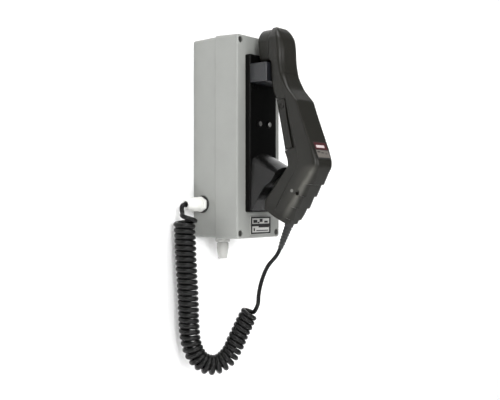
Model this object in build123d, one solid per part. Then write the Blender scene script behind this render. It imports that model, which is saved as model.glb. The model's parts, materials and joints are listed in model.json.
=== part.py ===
"""Wall-mounted push-to-talk handset station.

Frame: millimetres, origin at the centre of the enclosure's back face, which lies on the wall.
+X is to the right seen from the front, +Z is up, and -Y points from the wall into the room.
Depths are distances in front of the wall, so a point at depth d has Y = -d.
"""
from build123d import *
import math
import os

# ---------------------------------------------------------------- driving dimensions
BOX_HEIGHT = 250.0
BOX_WIDTH = 85.0
BOX_DEPTH = 72.0
PARTING_DEPTH = 38.0
CORNER_RADIUS = 4.0
WALL = 3.5
LID_WALL = 3.0
LID_DRAFT = 1.1
BASE_DRAFT = 0.8

LID_SCREW_X = 36.0
LID_SCREW_Z = 118.5
LID_RECESS_RADIUS = 4.0
LID_RECESS_DEPTH = 3.5
LID_SCREW_RADIUS = 2.0
PILLAR_RADIUS = 5.5

WALL_BOLT_X = 24.0
WALL_BOLT_Z = 112.0
WALL_BOLT_RADIUS = 2.6

TRAY_HALF_WIDTH = 26.5
TRAY_TOP = 101.5
TRAY_BOTTOM = -92.5
TRAY_DEPTH = 79.3
TRAY_WALL = 2.5
TRAY_SCREWS = [(-8.5, 16.8), (10.5, 16.8)]
TRAY_SCREW_RADIUS = 2.0
TRAY_HEAD_RADIUS = 4.5

REST_TOP = 89.5
REST_BOTTOM = 65.5
REST_DEPTH = 103.6

PLUNGER_DEPTH = 91.0
PLUNGER_RADIUS = 3.0
PLUNGER_PROUD = 2.0

HANDSET_HALF_WIDTH = 19.0
HANDSET_TOP = 135.0
CAVITY_HALF_WIDTH = 14.0
EAR_CENTRE_Z = 115.0

LEVER_PIN_Y = -121.7
LEVER_PIN_Z = 34.7
LEVER_PIN_RADIUS = 1.5
LEVER_RUNNING_CLEARANCE = 0.05

CORD_RADIUS = 2.8
COIL_RADIUS = 11.8
GLAND_HEIGHT_Z = -83.0
GLAND_DEPTH = 15.5
LINE_GLAND_X = -4.0
LINE_BORE_RADIUS = 3.25

BOX_HALF_HEIGHT = BOX_HEIGHT / 2
BOX_HALF_WIDTH = BOX_WIDTH / 2


# ---------------------------------------------------------------- helpers
def wall_plane(depth):
    """The plane parallel to the wall at a depth, seen from the front: local x is X, local y is Z."""
    return Plane.XZ.offset(depth)


def slab(outline, depth_a, depth_b):
    """Push an outline drawn on the wall plane from one depth to another."""
    return extrude(wall_plane(depth_a) * outline, amount=depth_b - depth_a)


def rod_out(x, z, radius, depth_a, depth_b):
    """A round bar that points away from the wall."""
    return slab(Pos(x, z) * Circle(radius), depth_a, depth_b)


def ring_out(x, z, outer, inner, depth_a, depth_b):
    """A tube or washer that points away from the wall."""
    return rod_out(x, z, outer, depth_a, depth_b) - rod_out(x, z, inner, depth_a, depth_b)


def side_prism(points, half_width):
    """An outline of (Y, Z) points, pushed equally to the left and to the right."""
    face = make_face(Polyline(*points, close=True))
    return extrude(Plane.YZ * face, amount=half_width, both=True)


def rod_across(y, z, radius, x_from, x_to):
    """A round bar along X."""
    return extrude(Plane.YZ.offset(x_from) * (Pos(y, z) * Circle(radius)), amount=x_to - x_from)


def frustum(width_back, height_back, depth_back, width_front, height_front, depth_front, radius):
    """A drafted box with rounded corners between two depths."""
    back = wall_plane(depth_back) * RectangleRounded(width_back, height_back, radius)
    front = wall_plane(depth_front) * RectangleRounded(width_front, height_front, radius)
    return loft([back, front])


def four(x, z):
    """The four points at (+-x, +-z)."""
    return [(sx * x, sz * z) for sx in (-1, 1) for sz in (-1, 1)]


def fuse(parts):
    """One shape out of several."""
    total = parts[0]
    for part in parts[1:]:
        total = total + part
    return total


def group(parts):
    """Several separate solids kept in one node."""
    solids = [solid for part in parts for solid in part.solids()]
    return Compound(children=solids)


def save(name, shape):
    """Write one node."""
    export_step(shape, "parts/" + name + ".step")


# ---------------------------------------------------------------- enclosure
BASE_BACK_WIDTH = BOX_WIDTH - 2 * BASE_DRAFT
BASE_BACK_HEIGHT = BOX_HEIGHT - 2 * BASE_DRAFT
LID_REAR_WIDTH = BOX_WIDTH + 2 * LID_DRAFT
LID_REAR_HEIGHT = BOX_HEIGHT + 2 * LID_DRAFT
SEAL_INSET = 2.2
SEAL_WIDTH = 1.6
SEAL_DEPTH = 1.6
FLOOR_THICKNESS = 3.5
LID_FLOOR = 3.5
INSERT_RADIUS = 2.9
INSERT_LENGTH = 9.0
GLAND_HOLE_RADIUS = 6.2
LID_EDGE = 2.0
INNER_CORNER = 2.0
LID_SCREW_HEAD_RADIUS = 3.5
LID_SCREW_HEAD_HEIGHT = 2.4
SLOT_WIDTH = 1.0
SLOT_DEPTH = 0.9


def make_seal_ring(depth_a, depth_b):
    """The band that the lid's seal fills, half-way through the base's rim."""
    outer = RectangleRounded(BOX_WIDTH - SEAL_INSET, BOX_HEIGHT - SEAL_INSET, CORNER_RADIUS)
    inner_width = BOX_WIDTH - SEAL_INSET - 2 * SEAL_WIDTH
    inner_height = BOX_HEIGHT - SEAL_INSET - 2 * SEAL_WIDTH
    inner = RectangleRounded(inner_width, inner_height, CORNER_RADIUS - SEAL_WIDTH)
    return slab(outer - inner, depth_a, depth_b)


def make_rear_box():
    """Base moulding: open at the front, with screw pillars in its corners and holes for two glands."""
    outer = frustum(
        BASE_BACK_WIDTH, BASE_BACK_HEIGHT, 0,
        BOX_WIDTH, BOX_HEIGHT, PARTING_DEPTH, CORNER_RADIUS)
    cavity = frustum(
        BASE_BACK_WIDTH - 2 * WALL, BASE_BACK_HEIGHT - 2 * WALL, FLOOR_THICKNESS,
        BOX_WIDTH - 2 * WALL, BOX_HEIGHT - 2 * WALL, PARTING_DEPTH, INNER_CORNER)
    box = outer - cavity
    for x, z in four(LID_SCREW_X, LID_SCREW_Z):
        box += rod_out(x, z, PILLAR_RADIUS, 1, PARTING_DEPTH)
    for x, z in four(LID_SCREW_X, LID_SCREW_Z):
        box -= rod_out(x, z, INSERT_RADIUS, PARTING_DEPTH - INSERT_LENGTH - 4, PARTING_DEPTH)
    for x, z in four(WALL_BOLT_X, WALL_BOLT_Z):
        box += rod_out(x, z, PILLAR_RADIUS, 1, FLOOR_THICKNESS + 2)
        box -= rod_out(x, z, WALL_BOLT_RADIUS, 0, FLOOR_THICKNESS + 2)
    side_face = -BOX_HALF_WIDTH
    box -= rod_across(-GLAND_DEPTH, GLAND_HEIGHT_Z, GLAND_HOLE_RADIUS, side_face - 1, side_face + WALL + 2)
    line_hole = Pos(LINE_GLAND_X, -GLAND_DEPTH, -BOX_HALF_HEIGHT) * Cylinder(GLAND_HOLE_RADIUS, 4 * WALL)
    box -= line_hole
    box -= make_seal_ring(PARTING_DEPTH - SEAL_DEPTH, PARTING_DEPTH)
    return box


def make_lid():
    """Front moulding: open at the back and a little wider than the base, with a recess for each screw."""
    outer = frustum(
        LID_REAR_WIDTH, LID_REAR_HEIGHT, PARTING_DEPTH,
        BOX_WIDTH, BOX_HEIGHT, BOX_DEPTH, CORNER_RADIUS)
    front_edges = outer.edges().group_by(Axis.Y)[0]
    outer = fillet(front_edges, LID_EDGE)
    cavity = frustum(
        BOX_WIDTH - 2 * LID_WALL, BOX_HEIGHT - 2 * LID_WALL, PARTING_DEPTH,
        BOX_WIDTH - 2 * LID_WALL - 1, BOX_HEIGHT - 2 * LID_WALL - 1, BOX_DEPTH - LID_FLOOR, INNER_CORNER)
    lid = outer - cavity
    for x, z in four(LID_SCREW_X, LID_SCREW_Z):
        lid += rod_out(x, z, PILLAR_RADIUS, PARTING_DEPTH, BOX_DEPTH - 1)
    for x, z in four(LID_SCREW_X, LID_SCREW_Z):
        lid -= rod_out(x, z, LID_RECESS_RADIUS, BOX_DEPTH - LID_RECESS_DEPTH, BOX_DEPTH)
        lid -= rod_out(x, z, LID_SCREW_RADIUS + 0.3, PARTING_DEPTH, BOX_DEPTH)
    for x, z in TRAY_SCREWS:
        lid -= rod_out(x, z, TRAY_SCREW_RADIUS + 0.2, BOX_DEPTH - LID_FLOOR, BOX_DEPTH)
    return lid


def make_slotted_screw(x, z, head_radius, head_depth_a, head_depth_b, shank_radius, shank_depth):
    """A screw with a slotted head, pointing at the wall."""
    screw = rod_out(x, z, head_radius, head_depth_a, head_depth_b)
    screw += rod_out(x, z, shank_radius, shank_depth, head_depth_a)
    slot = slab(Pos(x, z) * Rectangle(2 * head_radius, SLOT_WIDTH), head_depth_b - SLOT_DEPTH, head_depth_b)
    return screw - slot


def make_lid_screws():
    """Four captive screws, their heads at the bottom of the lid's recesses."""
    seat = BOX_DEPTH - LID_RECESS_DEPTH
    tip = PARTING_DEPTH - INSERT_LENGTH
    head = seat + LID_SCREW_HEAD_HEIGHT
    return group([
        make_slotted_screw(x, z, LID_SCREW_HEAD_RADIUS, seat, head, LID_SCREW_RADIUS, tip)
        for x, z in four(LID_SCREW_X, LID_SCREW_Z)])


def make_lid_inserts():
    """Brass inserts in the base's pillars."""
    bottom = PARTING_DEPTH - INSERT_LENGTH
    return group([
        ring_out(x, z, INSERT_RADIUS, LID_SCREW_RADIUS + 0.05, bottom, PARTING_DEPTH - 0.5)
        for x, z in four(LID_SCREW_X, LID_SCREW_Z)])


# ---------------------------------------------------------------- cradle
TRAY_EDGE = 1.2
REST_EDGE = 2.0
REST_WALL = 2.5
SWITCH_SIZE = (12.8, 6.5, 6.0)

# The wedge's side outline, in (Y, Z): from its upper root round its nose to its lower root.
WEDGE_HALF_WIDTH = 24.5
WEDGE_SIDE = [
    (-78.0, -10.0), (-118.0, -10.0), (-115.5, -46.0), (-109.5, -55.4), (-98.0, -62.8), (-79.3, -91.0),
    (-78.0, -91.0)]
ARCH_ROOT = (-18.0, -32.5)
ARCH_NOSE = (-38.0, -46.0)
ARCH_NOSE_DEPTH = 116.0


def make_cradle_tray():
    """Hollow-backed block on the lid that carries both rests."""
    height = TRAY_TOP - TRAY_BOTTOM
    middle = (TRAY_TOP + TRAY_BOTTOM) / 2
    outline = Pos(0, middle) * RectangleRounded(2 * TRAY_HALF_WIDTH, height, 2.0)
    tray = slab(outline, BOX_DEPTH, TRAY_DEPTH)
    tray = fillet(tray.edges().group_by(Axis.Y)[0], TRAY_EDGE)
    pocket = Pos(0, middle) * Rectangle(2 * (TRAY_HALF_WIDTH - TRAY_WALL), height - 2 * TRAY_WALL)
    tray -= slab(pocket, BOX_DEPTH, TRAY_DEPTH - TRAY_WALL)
    for x, z in TRAY_SCREWS:
        tray += rod_out(x, z, 5.0, BOX_DEPTH, TRAY_DEPTH - 1)
        tray -= rod_out(x, z, TRAY_SCREW_RADIUS + 0.2, BOX_DEPTH, TRAY_DEPTH)
    opening_height = REST_TOP - REST_BOTTOM - 2 * REST_WALL - 4
    opening = Pos(0, (REST_TOP + REST_BOTTOM) / 2) * Rectangle(30, opening_height)
    tray -= slab(opening, BOX_DEPTH, TRAY_DEPTH)
    return tray


def make_earpiece_rest():
    """Hollow square boss that the earpiece hangs over, with a hole in its top for the hook plunger."""
    middle = (REST_TOP + REST_BOTTOM) / 2
    height = REST_TOP - REST_BOTTOM
    width = 2 * TRAY_HALF_WIDTH - 1
    block = slab(Pos(0, middle) * RectangleRounded(width, height, 2.0), TRAY_DEPTH, REST_DEPTH)
    block = fillet(block.edges().group_by(Axis.Y)[0], REST_EDGE)
    inside = Pos(0, middle) * Rectangle(width - 2 * REST_WALL, height - 2 * REST_WALL)
    block -= slab(inside, TRAY_DEPTH, REST_DEPTH - REST_WALL)
    hole = Cylinder(PLUNGER_RADIUS + LEVER_RUNNING_CLEARANCE, 2 * REST_WALL)
    block -= Pos(0, -PLUNGER_DEPTH, REST_TOP) * hole
    return block


def arch_face(depth, crown_z, edge_z):
    """An arched outline with straight legs, drawn at a depth."""
    foot = -95.0
    left = (-WEDGE_HALF_WIDTH, edge_z)
    right = (WEDGE_HALF_WIDTH, edge_z)
    edges = [
        ThreePointArc(left, (0, crown_z), right),
        Line(right, (WEDGE_HALF_WIDTH, foot)),
        Line((WEDGE_HALF_WIDTH, foot), (-WEDGE_HALF_WIDTH, foot)),
        Line((-WEDGE_HALF_WIDTH, foot), left)]
    return wall_plane(depth) * make_face(Wire(edges))


def make_mouthpiece_rest():
    """Arched wedge whose nose sits in the crook of the handset."""
    arch = loft([arch_face(TRAY_DEPTH, *ARCH_ROOT), arch_face(ARCH_NOSE_DEPTH, *ARCH_NOSE)])
    wedge = arch & side_prism(WEDGE_SIDE, WEDGE_HALF_WIDTH + 1)
    return wedge


def make_tray_screws():
    """Two pan-head screws through the tray and the lid."""
    screws = []
    for x, z in TRAY_SCREWS:
        head = rod_out(x, z, TRAY_HEAD_RADIUS, TRAY_DEPTH, TRAY_DEPTH + 2.2)
        head = fillet(head.edges().group_by(Axis.Y)[0], 1.5)
        head += rod_out(x, z, TRAY_SCREW_RADIUS, BOX_DEPTH - 11, TRAY_DEPTH)
        head -= slab(Pos(x, z) * Rectangle(1.1, 5.4), TRAY_DEPTH + 1.0, TRAY_DEPTH + 2.2)
        head -= slab(Pos(x, z) * Rectangle(5.4, 1.1), TRAY_DEPTH + 1.0, TRAY_DEPTH + 2.2)
        screws.append(head)
    return group(screws)


def make_tray_nuts():
    """Hexagon nuts behind the lid."""
    nuts = []
    for x, z in TRAY_SCREWS:
        outline = Pos(x, z) * RegularPolygon(4.0, 6) - Pos(x, z) * Circle(TRAY_SCREW_RADIUS + 0.05)
        nuts.append(slab(outline, BOX_DEPTH - LID_FLOOR - 3.2, BOX_DEPTH - LID_FLOOR))
    return group(nuts)


def make_hook_plunger():
    """Round-topped plunger in the top of the earpiece rest, with a collar under the wall."""
    top = REST_TOP + PLUNGER_PROUD
    bottom = REST_TOP - REST_WALL - 9
    collar_top = REST_TOP - REST_WALL - 4.2
    stem = Pos(0, -PLUNGER_DEPTH, (top + bottom) / 2) * Cylinder(PLUNGER_RADIUS, top - bottom)
    stem = fillet(stem.edges().group_by(Axis.Z)[-1], 0.8)
    return stem + Pos(0, -PLUNGER_DEPTH, collar_top - 0.75) * Cylinder(PLUNGER_RADIUS + 1.5, 1.5)


def make_hook_spring():
    """Outer shape of the plunger's return spring."""
    spring_top = REST_TOP - REST_WALL - 5.9
    spring_bottom = REST_BOTTOM + REST_WALL
    length = spring_top - spring_bottom
    tube = Cylinder(PLUNGER_RADIUS + 1.4, length) - Cylinder(PLUNGER_RADIUS + 0.4, length)
    return Pos(0, -PLUNGER_DEPTH, spring_bottom + length / 2) * tube


def make_hook_switch():
    """Small snap switch beside the plunger."""
    side = PLUNGER_RADIUS + 3.5
    height = REST_BOTTOM + REST_WALL + 3.25
    body = Pos(side + SWITCH_SIZE[0] / 2, -PLUNGER_DEPTH, height) * Box(*SWITCH_SIZE)
    legs = [
        Pos(side + x, -PLUNGER_DEPTH + SWITCH_SIZE[1] / 2 + 1.7, height) * Box(0.6, 3.5, 2.0)
        for x in (2.0, 6.4, 10.8)]
    return fuse([body] + legs)


# ---------------------------------------------------------------- nameplate
PLATE_SIZE = (40.0, 22.0)
PLATE_CENTRE = (3.0, -109.3)
PLATE_THICKNESS = 0.8


def make_nameplate():
    """Thin plate stuck to the lid below the tray."""
    outline = Pos(*PLATE_CENTRE) * RectangleRounded(PLATE_SIZE[0], PLATE_SIZE[1], 0.8)
    return slab(outline, BOX_DEPTH, BOX_DEPTH + PLATE_THICKNESS)


# ---------------------------------------------------------------- inside the enclosure
BOARD_DEPTH = 14.0
BOARD_THICKNESS = 1.6
BOARD_CENTRE_Z = 5.0
BOARD_SIZE = (62.0, 120.0)
BOARD_HOLE = (27.0, 56.0)
BOARD_HOLE_RADIUS = 1.7
TERMINAL_COUNT = 8
TERMINAL_PITCH = 5.08


def board_holes():
    """Centres of the board's four screws."""
    return [(x, z + BOARD_CENTRE_Z) for x, z in four(*BOARD_HOLE)]


def make_terminal_board():
    """Circuit board that joins the cord to the line."""
    top = BOARD_DEPTH + BOARD_THICKNESS
    board = slab(Pos(0, BOARD_CENTRE_Z) * RectangleRounded(*BOARD_SIZE, 2.0), BOARD_DEPTH, top)
    for x, z in board_holes():
        board -= rod_out(x, z, BOARD_HOLE_RADIUS, BOARD_DEPTH, top)
    return board


def make_board_pillars():
    """Four brass pillars under the board."""
    return group([ring_out(x, z, 3.0, 1.3, FLOOR_THICKNESS, BOARD_DEPTH) for x, z in board_holes()])


def make_board_screws():
    """Four screws that hold the board to its pillars."""
    top = BOARD_DEPTH + BOARD_THICKNESS
    return group([
        make_slotted_screw(x, z, 2.8, top, top + 1.8, 1.25, BOARD_DEPTH - 6)
        for x, z in board_holes()])


def make_terminal_block():
    """Row of screw terminals along the lower edge of the board."""
    bottom = BOARD_DEPTH + BOARD_THICKNESS
    length = TERMINAL_COUNT * TERMINAL_PITCH
    z = BOARD_CENTRE_Z - 42.0
    block = slab(Pos(0, z) * Rectangle(length, 9.0), bottom, bottom + 10.0)
    for index in range(TERMINAL_COUNT):
        x = (index - (TERMINAL_COUNT - 1) / 2) * TERMINAL_PITCH
        block -= rod_out(x, z + 0.5, 1.7, bottom + 6.0, bottom + 10.0)
        block -= Pos(x, -(bottom + 3.0), z - 4.0) * Box(3.2, 3.2, 3.0)
    return block


# ---------------------------------------------------------------- cable glands
GLAND_GASKET = 1.5
GLAND_HEX_RADIUS = 9.8
GLAND_HEX_LENGTH = 5.5
GLAND_STUB_RADIUS = 6.9
GLAND_STUB_LENGTH = 10.0
GLAND_NUT_RADIUS = 8.8
SPIGOT_RADIUS = 6.0
SPIGOT_LENGTH = 11.0


def bar(radius, z_from, z_to):
    """A round bar along local Z."""
    return Pos(0, 0, (z_from + z_to) / 2) * Cylinder(radius, z_to - z_from)


def hexagon(radius, z_from, z_to):
    """A hexagonal bar along local Z."""
    return Pos(0, 0, z_from) * extrude(RegularPolygon(radius, 6), amount=z_to - z_from)


def gland_pieces(length, nut_radius, tip_radius, bore_radius):
    """A cable gland on local +Z, with the enclosure's outer face at z = 0 and its tip at z = length."""
    hex_top = GLAND_GASKET + GLAND_HEX_LENGTH
    stub_top = hex_top + GLAND_STUB_LENGTH
    gasket = bar(GLAND_HEX_RADIUS - 0.6, 0, GLAND_GASKET) - bar(SPIGOT_RADIUS, 0, GLAND_GASKET)
    body = hexagon(GLAND_HEX_RADIUS, GLAND_GASKET, hex_top) + bar(SPIGOT_RADIUS, -SPIGOT_LENGTH, GLAND_GASKET)
    body += bar(GLAND_STUB_RADIUS - 1.2, hex_top, stub_top)
    body -= bar(bore_radius + 1.2, -SPIGOT_LENGTH, stub_top)
    locknut = hexagon(9.0, -WALL - 4.5, -WALL - 0.6) - bar(SPIGOT_RADIUS + 0.05, -WALL - 5, -WALL)
    dome_start = stub_top + 2.0
    nut = bar(nut_radius, hex_top + 0.5, dome_start)
    dome = loft([Pos(0, 0, dome_start) * Circle(nut_radius), Pos(0, 0, length) * Circle(tip_radius)])
    nut = nut + dome
    nut -= bar(GLAND_STUB_RADIUS - 1.1, hex_top, stub_top + 0.4) + bar(bore_radius + 1.2, stub_top, length)
    seal = bar(bore_radius + 1.15, stub_top - 6, length) - bar(bore_radius, stub_top - 6, length)
    return {"gasket": gasket, "body": body, "locknut": locknut, "nut": nut, "seal": seal}


CORD_GLAND_LENGTH = 30.8
LINE_GLAND_LENGTH = 28.0
GLAND_SEAT = 0.2


def save_glands():
    """The cord's gland on the left side and the line's gland underneath."""
    side_face = -BOX_HALF_WIDTH + GLAND_SEAT
    left = Pos(side_face, -GLAND_DEPTH, GLAND_HEIGHT_Z) * Rot(0, -90, 0)
    under_face = -BOX_HALF_HEIGHT + GLAND_SEAT
    below = Pos(LINE_GLAND_X, -GLAND_DEPTH, under_face) * Rot(180, 0, 0)
    cord_gland = gland_pieces(CORD_GLAND_LENGTH, GLAND_NUT_RADIUS, 6.6, CORD_RADIUS + 0.05)
    line_gland = gland_pieces(LINE_GLAND_LENGTH, 7.6, 6.0, LINE_BORE_RADIUS)
    for name, piece in cord_gland.items():
        save("cord_gland_" + name, left * piece)
    for name, piece in line_gland.items():
        save("line_gland_" + name, below * piece)
    return side_face - CORD_GLAND_LENGTH


# ---------------------------------------------------------------- handset
# Side outline in (Y, Z): down the outer face, round the foot, and up the inner face.
OUTER_FACE = [
    (-101.0, 135.0), (-107.0, 133.0), (-113.5, 127.0), (-118.0, 118.0), (-120.2, 106.0), (-120.6, 90.0),
    (-123.0, 74.0), (-130.5, 56.5), (-143.5, 41.0), (-147.5, 29.0), (-156.0, 7.0), (-171.83, -31.0),
    (-172.2, -38.0), (-168.5, -46.0)]
RIB_COUNT = 4
RIB_START = (-168.5, -46.0)
RIB_END = (-128.0, -101.5)
RIB_STEP = 1.6
FOOT = [(-125.3, -107.3), (-115.3, -102.7), (-94.0, -87.0)]
MOUTH_FACE = [(-94.0, -77.5), (-129.5, -37.0)]
INNER_FACE = [
    (-128.5, -29.0), (-125.0, -18.0), (-121.0, 2.0), (-117.0, 20.5), (-112.0, 43.0), (-108.0, 53.0),
    (-105.2, 67.0), (-104.3, 90.0), (-100.5, 94.0), (-100.5, 135.0)]
# The seam between the two shells, in (Y, Z), from the crown to the foot.
SEAM = [
    (-106.5, 140.0), (-112.0, 118.0), (-113.0, 92.0), (-117.5, 72.0), (-127.0, 46.0), (-134.0, 25.0),
    (-142.5, -13.0), (-147.0, -34.0), (-131.0, -58.0), (-112.0, -88.0), (-103.0, -115.0)]
CAVITY = [
    (-104.0, 127.0), (-108.5, 127.0), (-114.0, 118.0), (-117.0, 104.0), (-117.4, 90.0), (-119.8, 74.0),
    (-128.0, 55.0), (-141.0, 39.5), (-153.0, 7.0), (-168.0, -33.0), (-164.0, -44.0), (-121.5, -100.0),
    (-113.0, -100.0), (-97.5, -86.5), (-97.5, -80.0), (-133.5, -38.5), (-133.8, -20.0), (-130.0, 2.0),
    (-126.0, 20.5), (-121.0, 40.0), (-112.0, 55.0), (-108.4, 67.0), (-107.5, 92.0), (-104.0, 97.0)]
LEVER = [
    (-112.3, 43.5), (-117.2, 20.5), (-121.2, 2.0), (-125.2, -18.0), (-138.7, -15.0), (-134.8, 2.0),
    (-130.9, 20.5), (-126.4, 43.5)]
FOOT_TAPER = 6.0
FOOT_TAPER_START = -92.0
FOOT_TAPER_END = -109.0
LEVER_FRONT = 3.0
LEVER_SIDE = 2.0
LEVER_GAP = 0.6
LEVER_NORMAL = (0, 0.98, -0.196)
SPRING_SEAT = (0, -129.3, -10.0)
SPRING_LENGTH = 2.3
BUTTON_SEAT = (0, -132.5, 4.0)
BUTTON_LENGTH = 5.4


def rib_points():
    """Saw-tooth grip ribs down the lower outer face: each tooth rises gently and drops back sharply."""
    run_y = (RIB_END[0] - RIB_START[0]) / RIB_COUNT
    run_z = (RIB_END[1] - RIB_START[1]) / RIB_COUNT
    length = math.hypot(run_y, run_z)
    out_y = run_z / length * RIB_STEP
    out_z = -run_y / length * RIB_STEP
    points = []
    for index in range(1, RIB_COUNT + 1):
        y = RIB_START[0] + run_y * index
        z = RIB_START[1] + run_z * index
        points.append((y + out_y, z + out_z))
        points.append((y, z))
    return points


def move_out(points, distance):
    """The same outline, moved away from the wall."""
    return [(y - distance, z) for y, z in points]


def front_outline():
    """Handset seen from the front: round at the crown and softly rounded at the foot."""
    side = HANDSET_HALF_WIDTH
    foot = side - FOOT_TAPER
    crown = HANDSET_TOP - side
    edges = [
        ThreePointArc((-side, crown), (0, HANDSET_TOP), (side, crown)),
        Line((side, crown), (side, FOOT_TAPER_START)),
        Line((side, FOOT_TAPER_START), (foot, FOOT_TAPER_END)),
        Line((foot, FOOT_TAPER_END), (-foot, FOOT_TAPER_END)),
        Line((-foot, FOOT_TAPER_END), (-side, FOOT_TAPER_START)),
        Line((-side, FOOT_TAPER_START), (-side, crown))]
    return make_face(Wire(edges))


def make_handset_block():
    """The whole handset as one solid, before it is hollowed and split."""
    outline = OUTER_FACE + rib_points() + FOOT + MOUTH_FACE + INNER_FACE
    block = side_prism(outline, HANDSET_HALF_WIDTH)
    return block & slab(front_outline(), 80, 190)


def lever_zone():
    """The space that the lever sweeps, which both shells leave open."""
    room = [
        (-110.0, 44.1), (-115.0, 20.5), (-119.0, 2.0), (-123.0, -19.5), (-142.3, -15.2), (-136.8, 2.0),
        (-132.1, 20.5), (-127.0, 44.1)]
    core = [
        (-118.9, 44.5), (-123.5, 20.5), (-127.5, 2.0), (-131.5, -22.0), (-145.0, -22.0), (-137.8, 2.0),
        (-133.0, 20.5), (-127.9, 44.5)]
    core_half_width = HANDSET_HALF_WIDTH - LEVER_SIDE - LEVER_GAP
    return side_prism(room, HANDSET_HALF_WIDTH + 1) - side_prism(core, core_half_width)


def make_handset_shells():
    """Outer and inner shells, hollow, parted along the seam."""
    block = make_handset_block()
    hollow = block - side_prism(CAVITY, CAVITY_HALF_WIDTH)
    hollow -= lever_zone()
    outer_side = side_prism(SEAM + [(-200.0, -112.0), (-200.0, 140.0)], 40)
    outer = hollow & outer_side
    inner = hollow - outer_side
    for screw in make_grip_screws().solids():
        outer -= screw
    inner -= make_ptt_pin()
    inner -= make_button(1.9)
    return outer, inner


def make_button(radius):
    """Round bar along the talk switch's button."""
    seat = Plane(origin=BUTTON_SEAT, x_dir=(1, 0, 0), z_dir=LEVER_NORMAL)
    return extrude(seat * Circle(radius), amount=BUTTON_LENGTH)


def make_ptt_lever():
    """Channel-shaped bar that wraps the inner side of the grip, bored for its pin."""
    lever = side_prism(LEVER, HANDSET_HALF_WIDTH)
    lever -= side_prism(move_out(LEVER, LEVER_FRONT), HANDSET_HALF_WIDTH - LEVER_SIDE)
    bore_radius = LEVER_PIN_RADIUS + LEVER_RUNNING_CLEARANCE
    lever -= rod_across(LEVER_PIN_Y, LEVER_PIN_Z, bore_radius, -HANDSET_HALF_WIDTH, HANDSET_HALF_WIDTH)
    return lever


def make_ptt_pin():
    """Hinge pin of the lever, held in the inner shell's core."""
    reach = HANDSET_HALF_WIDTH - 0.3
    return rod_across(LEVER_PIN_Y, LEVER_PIN_Z, LEVER_PIN_RADIUS, -reach, reach)


def across_mouth(distance, along):
    """A point on a line square to the mouth face: distance outwards, along down the face."""
    dy = MOUTH_FACE[0][0] - MOUTH_FACE[1][0]
    dz = MOUTH_FACE[0][1] - MOUTH_FACE[1][1]
    length = math.hypot(dy, dz)
    unit = (dy / length, dz / length)
    normal = (-unit[1], unit[0])
    start = MOUTH_FACE[1]
    y = start[0] + unit[0] * along + normal[0] * distance
    z = start[1] + unit[1] * along + normal[1] * distance
    return y, z


MOUTH_MIDDLE = 27.0
MOUTH_CAP_RADIUS = 16.0
MOUTH_CAP_HEIGHT = 2.4
MOUTH_WALL = 4.6


def mouth_plane(distance):
    """The plane of the mouth face, moved outwards, with local x along X."""
    y, z = across_mouth(distance, MOUTH_MIDDLE)
    y_out, z_out = across_mouth(distance + 1, MOUTH_MIDDLE)
    return Plane(origin=(0, y, z), x_dir=(1, 0, 0), z_dir=(0, y_out - y, z_out - z))


def mouth_disc(radius, distance_a, distance_b):
    """A disc square to the mouth face."""
    return extrude(mouth_plane(distance_a) * Circle(radius), amount=distance_b - distance_a)


def make_mouthpiece_cap():
    """Slotted disc over the microphone, a little proud of the mouth face."""
    cap = mouth_disc(MOUTH_CAP_RADIUS, 0, MOUTH_CAP_HEIGHT)
    cap = fillet(cap.edges().filter_by(GeomType.CIRCLE).sort_by(lambda edge: edge.center().Z)[-1], 1.0)
    for x in (-6, -3, 0, 3, 6):
        slot = mouth_plane(-1) * (Pos(x, 0) * SlotOverall(12, 1.4, rotation=90))
        cap -= extrude(slot, amount=MOUTH_CAP_HEIGHT + 2)
    return cap


EAR_DEPTH_FRONT = 83.5
EAR_DEPTH_BACK = 100.5
EAR_RADIUS = 17.6
EAR_BOTTOM = 92.0


def ear_outline(radius):
    """Earpiece seen from the wall: an arch with a square foot."""
    foot = EAR_BOTTOM + (EAR_RADIUS - radius)
    edges = [
        ThreePointArc((-radius, EAR_CENTRE_Z), (0, EAR_CENTRE_Z + radius), (radius, EAR_CENTRE_Z)),
        Line((radius, EAR_CENTRE_Z), (radius - 3, foot)),
        Line((radius - 3, foot), (3 - radius, foot)),
        Line((3 - radius, foot), (-radius, EAR_CENTRE_Z))]
    return make_face(Wire(edges))


def make_earpiece_cap():
    """Cover over the receiver, hollow, with a ring of sound holes."""
    cap = slab(ear_outline(EAR_RADIUS), EAR_DEPTH_FRONT, EAR_DEPTH_BACK)
    cap = fillet(cap.edges().group_by(Axis.Y)[-1], 3.0)
    cap -= slab(ear_outline(EAR_RADIUS - 3.0), EAR_DEPTH_FRONT + 2.5, EAR_DEPTH_BACK)
    for index in range(6):
        angle = math.radians(60 * index)
        x = 6 * math.cos(angle)
        z = EAR_CENTRE_Z - 3 + 6 * math.sin(angle)
        cap -= rod_out(x, z, 1.2, EAR_DEPTH_FRONT, EAR_DEPTH_FRONT + 3)
    return cap


def make_receiver_capsule():
    """Receiver behind the earpiece cap."""
    z = EAR_CENTRE_Z - 3
    front = EAR_DEPTH_FRONT + 2.5
    return rod_out(0, z, 11.0, front + 1, front + 8) + rod_out(0, z, 7.5, front + 8, front + 11)


def make_receiver_gasket():
    """Soft ring between the receiver and its cap."""
    front = EAR_DEPTH_FRONT + 2.5
    return ring_out(0, EAR_CENTRE_Z - 3, 11.0, 8.8, front, front + 1)


def make_microphone_capsule():
    """Microphone behind the mouth face."""
    return mouth_disc(6.5, -MOUTH_WALL - 7, -MOUTH_WALL - 1)


def make_microphone_gasket():
    """Soft ring between the microphone and the shell."""
    return mouth_disc(6.5, -MOUTH_WALL - 1, -MOUTH_WALL) - mouth_disc(4.5, -MOUTH_WALL - 1, -MOUTH_WALL)


def make_handset_board():
    """Small circuit board lying along the outer side of the grip."""
    return side_prism([(-139.5, 30.0), (-141.0, 30.6), (-158.0, -14.0), (-156.5, -14.6)], 11.0)


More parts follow.
